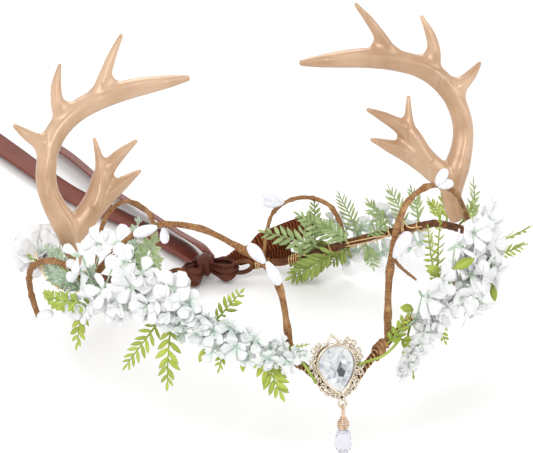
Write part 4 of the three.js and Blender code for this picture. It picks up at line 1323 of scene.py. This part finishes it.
def fern(angle0, side, reach, angle1, out1, height1, width, pairs, sag, breadth):
    up = band_height(angle0) + reach * math.sin(math.radians(side))
    base = near_band(angle0, reach * math.cos(math.radians(side)), up)
    tip = near_band(angle1, out1, height1)
    along = (tip - base).normalized()
    level = outward((angle0 + angle1) / 2)
    bow = square_to(level, along) * 4 * sag * MM
    shown = level * math.copysign(1, level.dot(to_camera)) + to_camera * FROND_TURN
    face = square_to(shown, along)
    across = face.cross(along)
    leaflets = Bed()

    def on_rib(share):
        return between(base, tip, share) + bow * share * (1 - share)

    def leaflet(share, heading, length):
        stand = frame_of(on_rib(share), heading, face + across * scatter(0.35))
        wide = length * min(breadth, LEAFLET_WIDEST)
        leaflets.plant(leaflet_shape, stand @ sized(wide, length), dice.random())
        if breadth > LOBED_FROM:
            fork = stand @ Matrix.Translation((0, LOBE_PLACE * length, 0))
            small = length * LOBE_SIZE
            slim = Matrix.Diagonal((small * LEAFLET_WIDEST, small, small, 1))
            for turn in (-LOBE_TURN, LOBE_TURN):
                lobe = fork @ Matrix.Rotation(turn, 4, "Z")
                leaflets.plant(leaflet_shape, lobe @ slim, dice.random())

    for i in range(pairs):
        share = (i + 1) / (pairs + 1)
        length = width * MM * LEAFLET_LONGEST * math.sin(math.pi * (0.26 + 0.6 * share))
        for hand in (-1, 1):
            lean = math.radians(LEAFLET_LEAN + scatter(8) - 12 * share)
            heading = across * hand * math.sin(lean) + along * math.cos(lean)
            heading += face * dice.uniform(-0.2, 0.25)
            leaflet(share + 0.02 * hand, heading, length)
    leaflet(0.95, along, width * MM * END_LEAFLET)
    line = [on_rib(i / RIB_STEPS) for i in range(RIB_STEPS + 1)]
    taper = [RIB_FOOT - RIB_TAPER * i for i in range(RIB_STEPS + 1)]
    rib = wire(line, RIB_RADIUS * MM, taper, sides=6)
    return join([leaflets.grow("leaflets"), rib])


def single_leaf(angle, start, tip):
    """One broad leaf on a stalk of its own."""
    foot, heel, end = stem_place(angle), near_band(*start), near_band(*tip)
    leaf = Bed()
    size = (end - heel).length
    stand = frame_of(heel, end - heel, to_camera)
    leaf.plant(leaflet_shape, stand @ sized(BROAD_LEAF * size, size), dice.random())
    bend = between(foot, heel, 0.5) - UP * MM
    stalk = wire(smooth_path([foot, bend, heel], 8), STALK_RADIUS * MM, sides=6)
    return join([leaf.grow("leaf"), stalk])


def tendril(rows):
    """A bare green stem that curls away from the wire."""
    return wire(smooth_path([near_band(*row) for row in rows], 20), TENDRIL_RADIUS * MM, sides=6)


for name, row in FERNS.items():
    *shape, finish, slot = row
    settle(fern(*shape), "frond_" + name, finish, replaces=[name])
for name, (finish, rows) in SPRIGS.items():
    pieces = [fern(*row) for row in rows]
    if name == "sprigs_front":
        pieces += [single_leaf(*row) for row in SINGLE_LEAVES]
        pieces += [tendril(rows) for rows in TENDRILS]
    settle(join(pieces), name, finish)
print("fronds:", len(FERNS), "and sprigs:", sum(len(rows) for _, rows in SPRIGS.values()))

# %% [markdown]
# ## Jewel at the brow
# A pear stone sits in a pierced gold setting: a cup with a beaded rim, a lace of scrolls all
# round it, and an open finial with a ball on top. All of it is flat work, so it is drawn in
# the jewel's own plane, with X to the right and Y up, and laid on the brow at the end by one
# matrix that leans it back and rolls it a little.

# %% Jewel measures
STONE_WIDTH = 13.6
STONE_HEIGHT = 19
STONE_FULLNESS = 0.66
STONE_POINT = 0.75
STONE_GAP = 0.35
JEWEL_CENTRE = Vector((-2, -99.1, -14)) * MM
JEWEL_LEAN = math.radians(18)
JEWEL_ROLL = math.radians(4)
LOOP_DROP = 14.6
LOOP_RADIUS = 1.6
LOOP_WIRE = 0.5
on_brow = Matrix.Translation(JEWEL_CENTRE)
on_brow @= Matrix.Rotation(-JEWEL_ROLL, 4, "Y") @ Matrix.Rotation(math.pi / 2 - JEWEL_LEAN, 4, "X")


def pear(offset, count=60, level=0.0):
    """The stone's outline in metres, grown by an offset in mm, from its point round to the left."""
    points = []
    for turn in round_turns(count):
        x = STONE_FULLNESS * STONE_WIDTH * math.sin(turn) * abs(math.sin(turn / 2)) ** STONE_POINT
        points.append(Vector((x, -0.5 * STONE_HEIGHT * math.cos(turn), level)))
    grown = []
    for i, point in enumerate(points):
        ahead = points[(i + 1) % count] - points[i - 1]
        normal = Vector((ahead.y, -ahead.x, 0)).normalized()
        grown.append((point + normal * offset) * MM)
    return grown


def lay_on_brow(piece):
    piece.data.transform(on_brow)
    return piece


print("the stone's outline is", round(path_length(pear(0)) / MM), "mm round")

# %% Setting
CUP_POINTS = 60
CUP_PROFILE = [
    # offset from the stone and level in mm: up inside, over the rim and down to the back outside
    (STONE_GAP, -1.7), (STONE_GAP, 0.9), (0.6, 1.3), (0.95, 1.2), (1.3, 0.5), (1.5, 0.2), (1.5, -1.5),
    (1.1, -1.8),
]
# beads on the rim, scrolls of wire, and beads between the scrolls, in mm
RIM_BEADS = 56
RIM_BEAD = 0.36
RIM_OFFSET = 1.2
RIM_LEVEL = 0.95
SCROLL_WIRE = 0.42
SCROLL_STEPS = 24
SCROLL_SWEEP = 440
SCROLL_HEART = 0.34
LACE = [
    # share of the way from the point to the top, a scroll's radius and its distance from the stone in mm
    (0.07, 1.1, 2.4), (0.16, 1.5, 2.8), (0.25, 1.7, 3.2), (0.34, 1.75, 3.3), (0.43, 1.75, 3.4),
    (0.52, 1.75, 3.3), (0.6, 1.7, 3.2), (0.68, 1.7, 3.3), (0.765, 1.8, 3.7), (0.85, 1.6, 3.6),
]
LACE_HALF = 50
LACE_BEAD = 0.46
LACE_BEAD_STEP = 2.2
LACE_BEAD_REACH = 0.94
BACKING_LEVEL = -0.7
BACKING_INSIDE = 1.0
BACKING_THICKNESS = 0.4
BACKING_REACH = [
    # share of the way from the point to the top, and how far the plate reaches from the stone in mm
    (0, 2.4), (0.12, 3.2), (0.55, 3.6), (0.72, 1.4), (1, 1.4),
]
# the finial's places and sizes in mm, and the link above the drop's loop
FINIAL_FOOT = (3.1, 9.9)
FINIAL_BEND = (2.2, 11.9)
FINIAL_PEAK = 14.4
FINIAL_LEVEL = 0.2
FINIAL_WIRE = 0.5
FINIAL_BALL = 0.75
FOOT_BALL = 0.6
LINK_RISE = 2.6
LINK_RADIUS = 1.1
LINK_WIRE = 0.55


def cup():
    """The bezel: the outline as a ring of edges, extruded along the profile and bridged shut."""
    ring = edge_ring(CUP_POINTS)
    for step, (offset, level) in enumerate(CUP_PROFILE):
        if step:
            extrude_edges()
        newest = ring.data.vertices[step * CUP_POINTS:]
        for vertex, place in zip(newest, pear(offset, CUP_POINTS, level)):
            vertex.co = place
    for edge in ring.data.edges:
        ends = [v // CUP_POINTS for v in edge.vertices]
        edge.select = ends[0] == ends[1] and ends[0] in (0, len(CUP_PROFILE) - 1)
    bpy.ops.object.mode_set(mode="EDIT")
    bpy.ops.mesh.select_mode(type="EDGE")
    bpy.ops.mesh.bridge_edge_loops()
    bpy.ops.object.mode_set(mode="OBJECT")
    return weld(ring)


def backing():
    """A plate behind the lower scrolls, dark with the setting's painted shade: a ring of edges, extruded
    outwards and thickened.
    """
    plate = edge_ring(CUP_POINTS)
    extrude_edges()
    inside = pear(BACKING_INSIDE, CUP_POINTS, BACKING_LEVEL)
    for i in range(CUP_POINTS):
        share = min(i, CUP_POINTS - i) / (CUP_POINTS / 2)
        reach = float(np.interp(share, *zip(*BACKING_REACH)))
        plate.data.vertices[i].co = inside[i]
        plate.data.vertices[CUP_POINTS + i].co = pear(reach, CUP_POINTS, BACKING_LEVEL)[i]
    weld(plate)
    return apply_modifier(plate, "SOLIDIFY", thickness=BACKING_THICKNESS * MM, offset=0)


def ball(x, y, level, radius):
    place = Vector((x, y, level)) * MM
    bead = added(bpy.ops.mesh.primitive_ico_sphere_add, subdivisions=2, radius=radius * MM, location=place)
    bpy.ops.object.transform_apply(location=True)
    bpy.ops.object.shade_smooth()
    return bead


def ring_wire(y, radius, thick):
    """A closed ring of wire on the jewel's middle line."""
    turns = round_turns(28)
    points = [Vector((radius * math.cos(t), y + radius * math.sin(t), 0)) * MM for t in turns]
    return wire(points, thick * MM, sides=8, closed=True)


def model_scroll(way):
    """A curl of wire of radius 1 mm that winds in from its rim, with a ball at its heart."""
    points, taper = [], []
    for i in range(SCROLL_STEPS + 1):
        share = i / SCROLL_STEPS
        turn = way * math.radians(SCROLL_SWEEP * share)
        reach = 1 - 0.72 * share
        points.append(Vector((reach * math.cos(turn), reach * math.sin(turn), 0.12 * share)) * MM)
        taper.append(0.8 - 0.25 * i / SCROLL_STEPS)
    curl = wire(points, SCROLL_WIRE * MM, taper, sides=6)
    end = points[-1]
    return lift_shape(join([curl, ball(end.x / MM, end.y / MM, 0.15, SCROLL_HEART)]))


def lace():
    """Scrolls round the cup, left ones wound one way and right ones the other, in turn."""
    scrolls = {way: model_scroll(way) for way in (-1, 1)}
    bead = lift_shape(ball(0, 0, 0, 1))
    bed = Bed()
    for k, (share, radius, reach) in enumerate(LACE):
        outline = pear(reach, 2 * LACE_HALF)
        for hand in (-1, 1):
            centre = outline[round(share * LACE_HALF)].copy()
            centre.x *= hand
            towards = math.atan2(centre.y, centre.x)
            way = hand * (1 if k % 2 else -1)
            turn = Matrix.Rotation(towards + math.pi - way * 0.9, 4, "Z")
            bed.plant(scrolls[way], Matrix.Translation(centre) @ turn @ Matrix.Scale(radius, 4))
            gap = outline[round(share * LACE_HALF + LACE_BEAD_STEP)].copy()
            gap.x *= hand
            bed.plant(bead, Matrix.Translation(gap * LACE_BEAD_REACH) @ Matrix.Scale(LACE_BEAD, 4))
    for place in pear(RIM_OFFSET, RIM_BEADS, RIM_LEVEL):
        bed.plant(bead, Matrix.Translation(place) @ Matrix.Scale(RIM_BEAD, 4))
    return bed.grow("lace")


def finial():
    pieces = [ball(0, FINIAL_PEAK, FINIAL_LEVEL, FINIAL_BALL)]
    peak = Vector((0, FINIAL_PEAK, FINIAL_LEVEL))
    for hand in (-1, 1):
        foot = Vector((hand * FINIAL_FOOT[0], FINIAL_FOOT[1], FINIAL_LEVEL))
        bend = Vector((hand * FINIAL_BEND[0], FINIAL_BEND[1], FINIAL_LEVEL))
        line = smooth_path([foot * MM, bend * MM, peak * MM], 12)
        pieces += [wire(line, FINIAL_WIRE * MM, sides=6), ball(foot.x, foot.y, 0.3, FOOT_BALL)]
    return pieces


def setting():
    link = ring_wire(-LOOP_DROP + LINK_RISE, LINK_RADIUS, LINK_WIRE)
    loop = ring_wire(-LOOP_DROP, LOOP_RADIUS, LOOP_WIRE)
    return lay_on_brow(join([cup(), backing(), lace(), *finial(), link, loop]))


def pale_gold(name, dark, light, painted_shade_below):
    """Antique gold; the setting's is brown below the jewel's plane, as painted shade, and bright above it.
    """
    gold = Finish(name, Metallic=1.0)
    place = gold.place()
    cloud = gold.noise(place, 500, 4)
    tone = gold.mix(cloud, dark, light)
    if painted_shade_below:
        up = on_brow.to_3x3() @ UP
        dot = {"operation": "DOT_PRODUCT"}
        height = gold.node("ShaderNodeVectorMath", dot, {0: place, 1: tuple(up)}, output="Value")
        middle_height = up.dot(on_brow.translation)
        # painted light: the brown srgb(76, 46, 26) is painted shade on the wires' sides and in the hollows,
        # the gold above a painted lit top
        bright = (height - middle_height + 0.1 * MM * cloud).clamped(-0.05 * MM, 0.45 * MM)
        tone = gold.mix(bright, srgb(76, 46, 26), tone)
    gold.paint("Base Color", tone)
    gold.paint("Roughness", 0.18 + 0.16 * cloud)
    return gold.material


# the setting's gold carries painted shade below the jewel's plane; the drop's rose gold has none
antique_gold_with_painted_shade = pale_gold("antique_gold_with_painted_shade", srgb(206, 188, 160), srgb(246, 239, 226), True)
rose_gold = pale_gold("rose_gold", srgb(206, 172, 142), srgb(246, 227, 208), False)
mount = settle(setting(), "pierced_setting", antique_gold_with_painted_shade, replaces=["filigree_setting"])
print("setting faces:", len(mount.data.polygons))

# %% [markdown]
# ## Cut stones
# A cutter starts from a shaped blank and grinds one flat after another. The same works here:
# a pear-shaped prism is cut by planes, one bisect for each facet, the waste cleared and the
# cut filled. The faces stay flat, because a smoothed gem looks like a blob. Such stones are
# backed with foil, whose facets throw back the light in bright and dark flashes. Here those
# flashes are painted: a faceted foil cup lies behind the clear crown, each facet with a tone
# of its own, white for a painted glint and dark grey for painted shade.

# %% Pear stone
TABLE_LEVEL = 2.1
BACK_LEVEL = -0.3
BLANK_POINTS = 66
FACET_STEPS = 6
FACET_RINGS = [
    # facets round, slope in degrees from flat, start inside the girdle in mm and its level
    (22, 56, 0.0, 0.15), (14, 40, 0.55, 0.95), (11, 26, 1.7, 1.65),
]
FOIL_RINGS = [
    # offset from the outline, level of even and of odd points in mm
    (0.1, -0.4, -0.4), (-2.4, -1.5, -1.1), (-4.6, -1.9, -2.3),
]
FOIL_POINTS = 22
FOIL_THICKNESS = 0.15
# tones of the foil's facets, as painted shade and painted glints, and its patch painted in shade, in mm
FOIL_PAINTED_SHADE = (0.02, 0.1, 0.2)
FOIL_PAINTED_GLINTS = (0.4, 0.6, 0.75, 0.85, 1, 1, 1, 1)
SHADED_X = (0, 2.6)
SHADED_Y = (-3, 1.6)


def pear_stone():
    blank = added(bpy.ops.mesh.primitive_cylinder_add, vertices=BLANK_POINTS, radius=1, depth=2)
    outline = pear(0, BLANK_POINTS)
    for vertex in blank.data.vertices:
        turn = math.atan2(vertex.co.x, vertex.co.y) / (2 * math.pi)
        point = outline[round(turn * BLANK_POINTS) % BLANK_POINTS]
        vertex.co = (point.x, point.y, (TABLE_LEVEL if vertex.co.z > 0 else BACK_LEVEL) * MM)
    weld(blank)
    bpy.ops.object.mode_set(mode="EDIT")
    for facets, slope, sink, level in FACET_RINGS:
        ring = pear(-sink, facets * FACET_STEPS, level)
        tip = math.radians(slope)
        for i in range(FACET_STEPS // 2, len(ring), FACET_STEPS):
            ahead = ring[(i + 1) % len(ring)] - ring[i - 1]
            aside = Vector((ahead.y, -ahead.x, 0)).normalized()
            flat = aside * math.sin(tip) + UP * math.cos(tip)
            bpy.ops.mesh.select_all(action="SELECT")
            bpy.ops.mesh.bisect(plane_co=ring[i], plane_no=flat, use_fill=True, clear_outer=True)
    bpy.ops.object.mode_set(mode="OBJECT")
    bpy.ops.object.shade_flat()
    return lay_on_brow(blank)


def foil_cup():
    """Foil folded into facets: rings of points that zigzag in level, drawn together in the middle."""
    foil = edge_ring(FOIL_POINTS)
    for step, (offset, even, odd) in enumerate(FOIL_RINGS):
        if step:
            extrude_edges()
        outline = pear(offset, FOIL_POINTS * 2)
        for k, vertex in enumerate(foil.data.vertices[step * FOIL_POINTS:]):
            point = outline[2 * k + step % 2]
            vertex.co = (point.x, point.y, (odd if k % 2 else even) * MM)
    bpy.ops.object.mode_set(mode="EDIT")
    bpy.ops.mesh.edge_face_add()
    bpy.ops.mesh.poke()
    bpy.ops.mesh.select_all(action="SELECT")
    bpy.ops.mesh.quads_convert_to_tris(quad_method="BEAUTY")
    bpy.ops.object.mode_set(mode="OBJECT")
    apply_modifier(foil, "SOLIDIFY", thickness=FOIL_THICKNESS * MM, offset=-1)
    tone = foil.data.attributes.new("tint", "FLOAT", "FACE")
    # Blender may number these faces anew in each run, so the tones are dealt out by place
    spots = [tuple(round(x, 3) for x in face.center / MM) for face in foil.data.polygons]
    for k in sorted(range(len(spots)), key=lambda i: spots[i]):
        x, y, _ = spots[k]
        # painted light: facets in the shaded patch get tones of painted shade, all others tones of painted
        # glints
        shaded = SHADED_X[0] < x < SHADED_X[1] and SHADED_Y[0] < y < SHADED_Y[1]
        tone.data[k].value = dice.choice(FOIL_PAINTED_SHADE if shaded else FOIL_PAINTED_GLINTS)
    bpy.ops.object.shade_flat()
    return lay_on_brow(foil)


def clear_glass(name, colour, clear, roughness):
    glass = Finish(name, Transmission_Weight=clear, IOR=1.5)
    cloud = glass.noise(glass.place(), 60)
    glass.paint("Base Color", glass.mix(cloud, colour, (1, 1, 1, 1)))
    glass.paint("Roughness", roughness + 0.02 * cloud)
    return glass.material


def foil_painted_flashes():
    foil = Finish("foil_painted_flashes", Metallic=0.15)
    tone = foil.tint()
    grain = foil.noise(foil.place(), 900)
    # painted light: each facet's tone runs from dark grey, for painted shade, to white, for a painted glint
    grey = foil.mix(tone.clamped(0.05, 0.4), srgb(62, 64, 70), srgb(204, 207, 216))
    foil.paint("Base Color", foil.mix(tone.clamped(0.45, 0.8), grey, srgb(252, 252, 250)))
    foil.paint("Roughness", 0.2 + 0.1 * grain)
    return foil.material


clear_crystal = clear_glass("clear_crystal", srgb(244, 248, 252), 1.0, 0.0)
stone = settle(pear_stone(), "cut_pear_stone", clear_crystal, replaces=["pear_stone"])
settle(foil_cup(), "stone_foil", foil_painted_flashes())
print("stone facets:", len(stone.data.polygons))

# %% [markdown]
# ## Hanging drop
# Under the setting hangs a drop on an eye of wire: a twisted stem, a cone of wound wire and a
# faceted briolette. It swings, so these pieces ride on the drop's own body. The eye is linked
# through the setting's loop. Twist and winding are helices; the briolette is a sphere whose
# rings are scaled to its profile and turned by half a step, so that its facets become kites.

# %% Hanging drop
EYE_RADIUS = 1.4
EYE_WIRE = 0.4
EYE_SAG = 0.3
DROP_STEM = 3.0
DROP_CAP = 5.2
# the twisted stem, the cap's core and the reach of its two windings, in mm from top to bottom
TWIST_WIRE = 0.42
TWIST_TURNS = 3.5
CAP_RADII = [0.7, 1.1, 1.5, 1.8, 1.9, 1.9, 1.85]
INNER_COIL = (0.7, 1.3, 1.9, 2.1, 2.0)
OUTER_COIL = (1.2, 2.2, 2.4, 2.3)
CRYSTAL_GAP = 0.3
CRYSTAL_SIDES = 10
CRYSTAL_WIDTH = 7.4
CRYSTAL_LENGTH = 11.7
CRYSTAL_PROFILE = [
    # share of length, share of half width
    (0, 0.5), (0.12, 0.74), (0.34, 0.93), (0.56, 1), (0.74, 0.9), (0.9, 0.56), (1, 0.1),
]
eye_centre = on_brow @ (Vector((0, -LOOP_DROP - LOOP_RADIUS, 0)) * MM) - UP * EYE_SAG * MM
stem_top = eye_centre.z / MM - EYE_RADIUS
hang = Vector((eye_centre.x, eye_centre.y, 0)) / MM


def spiral(top, bottom, reaches, turns, start=0.0):
    """A helix under the eye, whose reach in mm follows the given list from top to bottom."""
    steps = int(turns * 18)
    points = []
    for i in range(steps + 1):
        share = i / steps
        turn = 2 * math.pi * (turns * share + start)
        reach = float(np.interp(share * (len(reaches) - 1), range(len(reaches)), reaches))
        offset = Vector((reach * math.cos(turn), reach * math.sin(turn), between(top, bottom, share)))
        points.append((hang + offset) * MM)
    return points


def coil(radius, *route):
    return wire(spiral(*route), radius * MM, sides=6)


def drop_wire():
    """The eye, the two twisted strands of the stem, the cap's core and the wire wound over it."""
    eye = [eye_centre + Vector((0, math.cos(t), math.sin(t))) * EYE_RADIUS * MM for t in round_turns(24)]
    cap_top = stem_top - DROP_STEM
    cap_end = cap_top - DROP_CAP
    spans = len(CAP_RADII) - 1
    core = [(hang + UP * between(cap_top, cap_end, i / spans)) * MM for i in range(spans + 1)]
    twist = (stem_top + 0.3, cap_top - 0.4, (TWIST_WIRE, TWIST_WIRE), TWIST_TURNS)
    return join([
        wire(eye, EYE_WIRE * MM, sides=8, closed=True),
        coil(TWIST_WIRE, *twist),
        coil(TWIST_WIRE, *twist, 0.5),
        wire(core, MM, CAP_RADII, sides=12),
        coil(0.4, cap_top + 0.3, cap_end + 0.3, INNER_COIL, 6.5),
        coil(0.3, cap_top - 0.8, cap_end + 0.8, OUTER_COIL, 3.4, 0.4),
    ])


def briolette():
    top = stem_top - DROP_STEM - DROP_CAP - CRYSTAL_GAP
    rings = len(CRYSTAL_PROFILE) - 1
    size = {"segments": CRYSTAL_SIDES, "ring_count": rings + 2, "radius": 1}
    gem = added(bpy.ops.mesh.primitive_uv_sphere_add, **size)
    levels = sorted({round(v.co.z, 4) for v in gem.data.vertices}, reverse=True)
    for vertex in gem.data.vertices:
        k = levels.index(round(vertex.co.z, 4))
        share, reach = CRYSTAL_PROFILE[min(max(k - 1, 0), rings)]
        turn = math.atan2(vertex.co.y, vertex.co.x) + (k % 2) * math.pi / CRYSTAL_SIDES
        reach = 0 if k in (0, len(levels) - 1) else reach * CRYSTAL_WIDTH / 2
        offset = Vector((reach * math.cos(turn), reach * math.sin(turn), top - share * CRYSTAL_LENGTH))
        vertex.co = (hang + offset) * MM
    bpy.ops.object.mode_set(mode="EDIT")
    bpy.ops.mesh.select_all(action="SELECT")
    bpy.ops.mesh.quads_convert_to_tris(quad_method="SHORTEST_DIAGONAL")
    bpy.ops.mesh.normals_make_consistent(inside=False)
    bpy.ops.object.mode_set(mode="OBJECT")
    bpy.ops.object.shade_flat()
    return gem


settle(drop_wire(), "wound_drop_wire", rose_gold, "drop", ["drop_wire"])
lavender = clear_glass("lavender_crystal", srgb(230, 227, 246), 0.8, 0.02)
gem = settle(briolette(), "faceted_briolette", lavender, "drop", ["drop_crystal"])
print("briolette facets:", len(gem.data.polygons))

# %% [markdown]
# ## Ribbon
# A satin ribbon is tied through the eyelets. Its loops and knot gather the cloth into folds,
# and two tails run off along the floor. A ribbon is a flat strip, so each length starts as a
# grid, laid along its path row by row, with its width gathered or spread and a soft ripple
# across it, and then gets its thickness. One strip beside the knot is ribbed crosswise.

# %% Ribbon
TAIL_LEVEL = -58.4
LONG_WIDTH = 13
SHORT_WIDTH = 10
STRIP_WIDTH = 10
RIBBON_ROWS = 60
RIBBON_ACROSS = 8
RIBBON_THICKNESS = 0.5
SPREAD_BY = 0.2
KNOT_CENTRE = Vector((-0.5, 91, -53.5))
TAIL_LONG = [
    # x, y, z in mm
    (-1, 95.9, -57), (-2, 112, TAIL_LEVEL + 0.4), (-6, 128, TAIL_LEVEL), (-14, 147, TAIL_LEVEL),
    (-22, 163, TAIL_LEVEL), (-31, 184, TAIL_LEVEL), (-38, 207, TAIL_LEVEL), (-45, 234, TAIL_LEVEL),
    (-55, 276, TAIL_LEVEL),
]
TAIL_SHORT = [
    # x, y, z in mm
    (3, 95.9, -51.4), (2.4, 110, TAIL_LEVEL + 5.4), (-1, 131, TAIL_LEVEL + 3), (-8, 153, TAIL_LEVEL + 3),
    (-12.5, 167, TAIL_LEVEL + 2.6), (-17, 189, TAIL_LEVEL + 2), (-22, 217, TAIL_LEVEL + 1.6),
    (-26, 235, TAIL_LEVEL + 1.6),
]
STRIP_BACK = [
    # degrees from the brow, out and height in mm
    (168, 4, -48.4), (161, 4.4, -43.6), (155, 4.4, -39), (149.5, 4, -35.5),
]
STRIP_FRONT = [
    # degrees from the brow, out and height in mm
    (174, 1.6, -52), (168, 3, -50.6), (162, 3.2, -49.6), (156.5, 3.4, -48.4),
]


def thickened(strip):
    """A strip of cloth with its thickness, smooth to look at."""
    apply_modifier(strip, "SOLIDIFY", thickness=RIBBON_THICKNESS * MM, offset=0)
    bpy.ops.object.shade_smooth()
    return strip


def ribbon(places, width, lean, gather, ripple=0.0, steps=RIBBON_ROWS):
    """A strip laid along a path; gather narrows its start, lean tips it, ripple waves it."""
    strip = flat_grid(RIBBON_ACROSS, steps)
    path = smooth_path(places, steps)
    tip = math.radians(lean)
    for vertex in strip.data.vertices:
        row = round((vertex.co.y + 0.5) * steps)
        share = row / steps
        ahead = heading_at(path, row)
        tipped = UP.cross(ahead).normalized() * math.cos(tip) + UP * math.sin(tip)
        side = square_to(tipped, ahead)
        face = ahead.cross(side)
        ease = min(share / SPREAD_BY, 1)
        spread = between(gather, 1, ease * ease * (3 - 2 * ease))
        fold = math.cos(vertex.co.x * 6 * math.pi) * (1 - spread) * 1.6
        wave = ripple * math.sin(share * 17 + vertex.co.x * 2) + fold
        vertex.co = path[row] + side * vertex.co.x * width * spread * MM + face * wave * MM
    return thickened(strip)


def satin(name, dark, light, ribs=0, gloss=0.2):
    """Satin: a fine weave across, a soft gloss, and ribs if the strip is grosgrain, with a painted highlight
    and painted shade.
    """
    cloth = Finish(name, Specular_IOR_Level=gloss)
    uv = cloth.place("UV")
    cloud = cloth.noise(cloth.place(), 90, 3)
    along = cloth.axis(uv, "Y")
    if ribs:
        rib = (along * ribs * 2 * math.pi).wave() * 0.5 + 0.5
        # painted light: the colour follows the ribs, a painted highlight on each rib and painted shade in
        # the grooves
        cloth.paint("Base Color", cloth.mix(rib * 0.85 + cloud * 0.15, dark, light))
        cloth.paint("Roughness", 0.5 + 0.2 * cloud)
        cloth.bump(rib, 0.0012, 0.9)
    else:
        weave = cloth.noise(cloth.stretched(uv, (90, 900, 1)), 1.0, 2)
        cloth.paint("Base Color", cloth.mix(cloud * 0.7 + weave * 0.3, dark, light))
        cloth.paint("Roughness", 0.34 + 0.16 * weave)
        cloth.bump(weave, 0.0002, 0.4)
    return cloth.material


mauve_satin = satin("mauve_satin", srgb(92, 36, 25), srgb(138, 72, 55))
brown_satin = satin("brown_satin", srgb(40, 12, 5), srgb(112, 52, 28), gloss=0.3)
# the grosgrain's dark end is painted shade in its grooves, its light end a painted highlight on its ribs
grosgrain = satin("red_grosgrain", srgb(58, 20, 8), srgb(160, 82, 40), ribs=22)


def laid_sheet(piece, name, finish, places, width, solid):
    length = sum(path_length(smooth_path(line, RIBBON_ROWS)) for line in places)
    settle(piece, name, finish, replaces=[solid])
    print(name, "is", round(width), "by", round(length / MM), "mm flat")


long_line = [Vector(p) * MM for p in TAIL_LONG]
short_line = [Vector(p) * MM for p in TAIL_SHORT]
back_line = [near_band(*row) for row in STRIP_BACK]
front_line = [near_band(*row) for row in STRIP_FRONT]
long_tail = ribbon(long_line, LONG_WIDTH, 9, 0.5, 0.35)
laid_sheet(long_tail, "satin_tail_long", mauve_satin, [long_line], LONG_WIDTH,
           "ribbon_tail_long")
short_tail = ribbon(short_line, SHORT_WIDTH, 30, 0.6, 0.3)
laid_sheet(short_tail, "satin_tail_short", mauve_satin, [short_line], SHORT_WIDTH,
           "ribbon_tail_short")
strip = join([ribbon(back_line, 9, 62, 0.35, steps=44), ribbon(front_line, 7.8, 74, 0.4, steps=44)])
laid_sheet(strip, "grosgrain_strip", grosgrain, [back_line, front_line], STRIP_WIDTH,
           "ribbon_strip")

# %% [markdown]
# ## Knot
# The knot is the ribbon pulled through both eyelets and pinched in the middle. A lump with
# wrinkles would pass from afar, but loops of real strip show the folds: one loop of ribbon to
# each eyelet, narrow at the pinch and wide at the bend, and a short wrap round the middle.

# %% Knot
KNOT_ROWS = 48
LOOP_ACROSS = 14
LOOP_WIDTHS = [4.4, 8.6, 8, 3.4, 8, 8.6, 4.4]
LOOP_BEND = [
    # x away from the knot and y in mm, from the eyelet's middle
    (-8.5, 3.6), (-5, 3.2), (-2.4, 0), (-5, -3.2), (-8.5, -3.6),
]
LOOP_ASIDE = 1.2
LOOP_APART = 1.6
PINCH_WIDTH = 7.5


def loop_strip(places):
    """A loop of ribbon whose width changes along it; it is wrinkled, most where it is narrow."""
    strip = flat_grid(LOOP_ACROSS, KNOT_ROWS)
    path = smooth_path([Vector(p) * MM for p in places], KNOT_ROWS)
    where = np.linspace(0, len(LOOP_WIDTHS) - 1, KNOT_ROWS + 1)
    spread = np.interp(where, range(len(LOOP_WIDTHS)), LOOP_WIDTHS)
    for vertex in strip.data.vertices:
        row = round((vertex.co.y + 0.5) * KNOT_ROWS)
        ahead = heading_at(path, row)
        side = square_to(UP, ahead)
        face = ahead.cross(side)
        tight = 1 - spread[row] / max(LOOP_WIDTHS)
        fold = math.cos(vertex.co.x * 5 * math.pi + 3 * row / KNOT_ROWS) * (0.6 + 0.8 * tight)
        fold += 0.35 * math.sin(vertex.co.x * 23 + row * 0.55)
        vertex.co = path[row] + (side * vertex.co.x * float(spread[row]) + face * fold) * MM
    thickened(strip)
    apply_modifier(strip, "SUBSURF", levels=1, render_levels=1)
    bpy.ops.object.shade_smooth()
    return strip


def pinch(places):
    """The band of ribbon that goes round the middle of the knot."""
    strip = flat_grid(RIBBON_ACROSS, KNOT_ROWS)
    path = smooth_path([p * MM for p in places], KNOT_ROWS)
    for vertex in strip.data.vertices:
        row = round((vertex.co.y + 0.5) * KNOT_ROWS)
        out = (path[row] - KNOT_CENTRE * MM).normalized()
        fold = 0.5 * math.cos(vertex.co.x * 4 * math.pi) - 5 * vertex.co.x ** 2
        vertex.co = path[row] + (Vector((vertex.co.x * PINCH_WIDTH, 0, 0)) + out * fold) * MM
    return thickened(strip)


def knot():
    pieces = []
    for hand in (-1, 1):
        hole = eyelet_centre(hand) / MM
        aside = KNOT_CENTRE.x + hand * LOOP_ASIDE
        places = [(aside, KNOT_CENTRE.y + LOOP_APART, KNOT_CENTRE.z)]
        places += [(hole.x + hand * x, hole.y + y, hole.z) for x, y in LOOP_BEND]
        places.append((aside, KNOT_CENTRE.y - LOOP_APART, KNOT_CENTRE.z))
        pieces.append(loop_strip(places))
    wrap = []
    for turn in [*round_turns(12), 2 * math.pi]:
        offset = Vector((0.6 * math.sin(2 * turn), 4.4 * math.sin(turn), 4.6 * math.cos(turn)))
        wrap.append(KNOT_CENTRE + offset)
    return join([*pieces, pinch(wrap)])


tied = settle(knot(), "tied_knot", brown_satin, replaces=["ribbon_knot"])
print("knot faces:", len(tied.data.polygons))

# %% [markdown]
# ## Check the size
# The dressed model has to fill the same box as the solids, apart from a little that cloth may
# stand proud, because nothing here may change the object's size. How far it reaches beyond
# the solids' box is printed.

# %% Check the size
low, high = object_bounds()
over = [round(max(a - b, d - c) / MM, 1) for a, b, c, d in zip(cad_low, low, cad_high, high)]
print("reach beyond the solids in mm:", over)
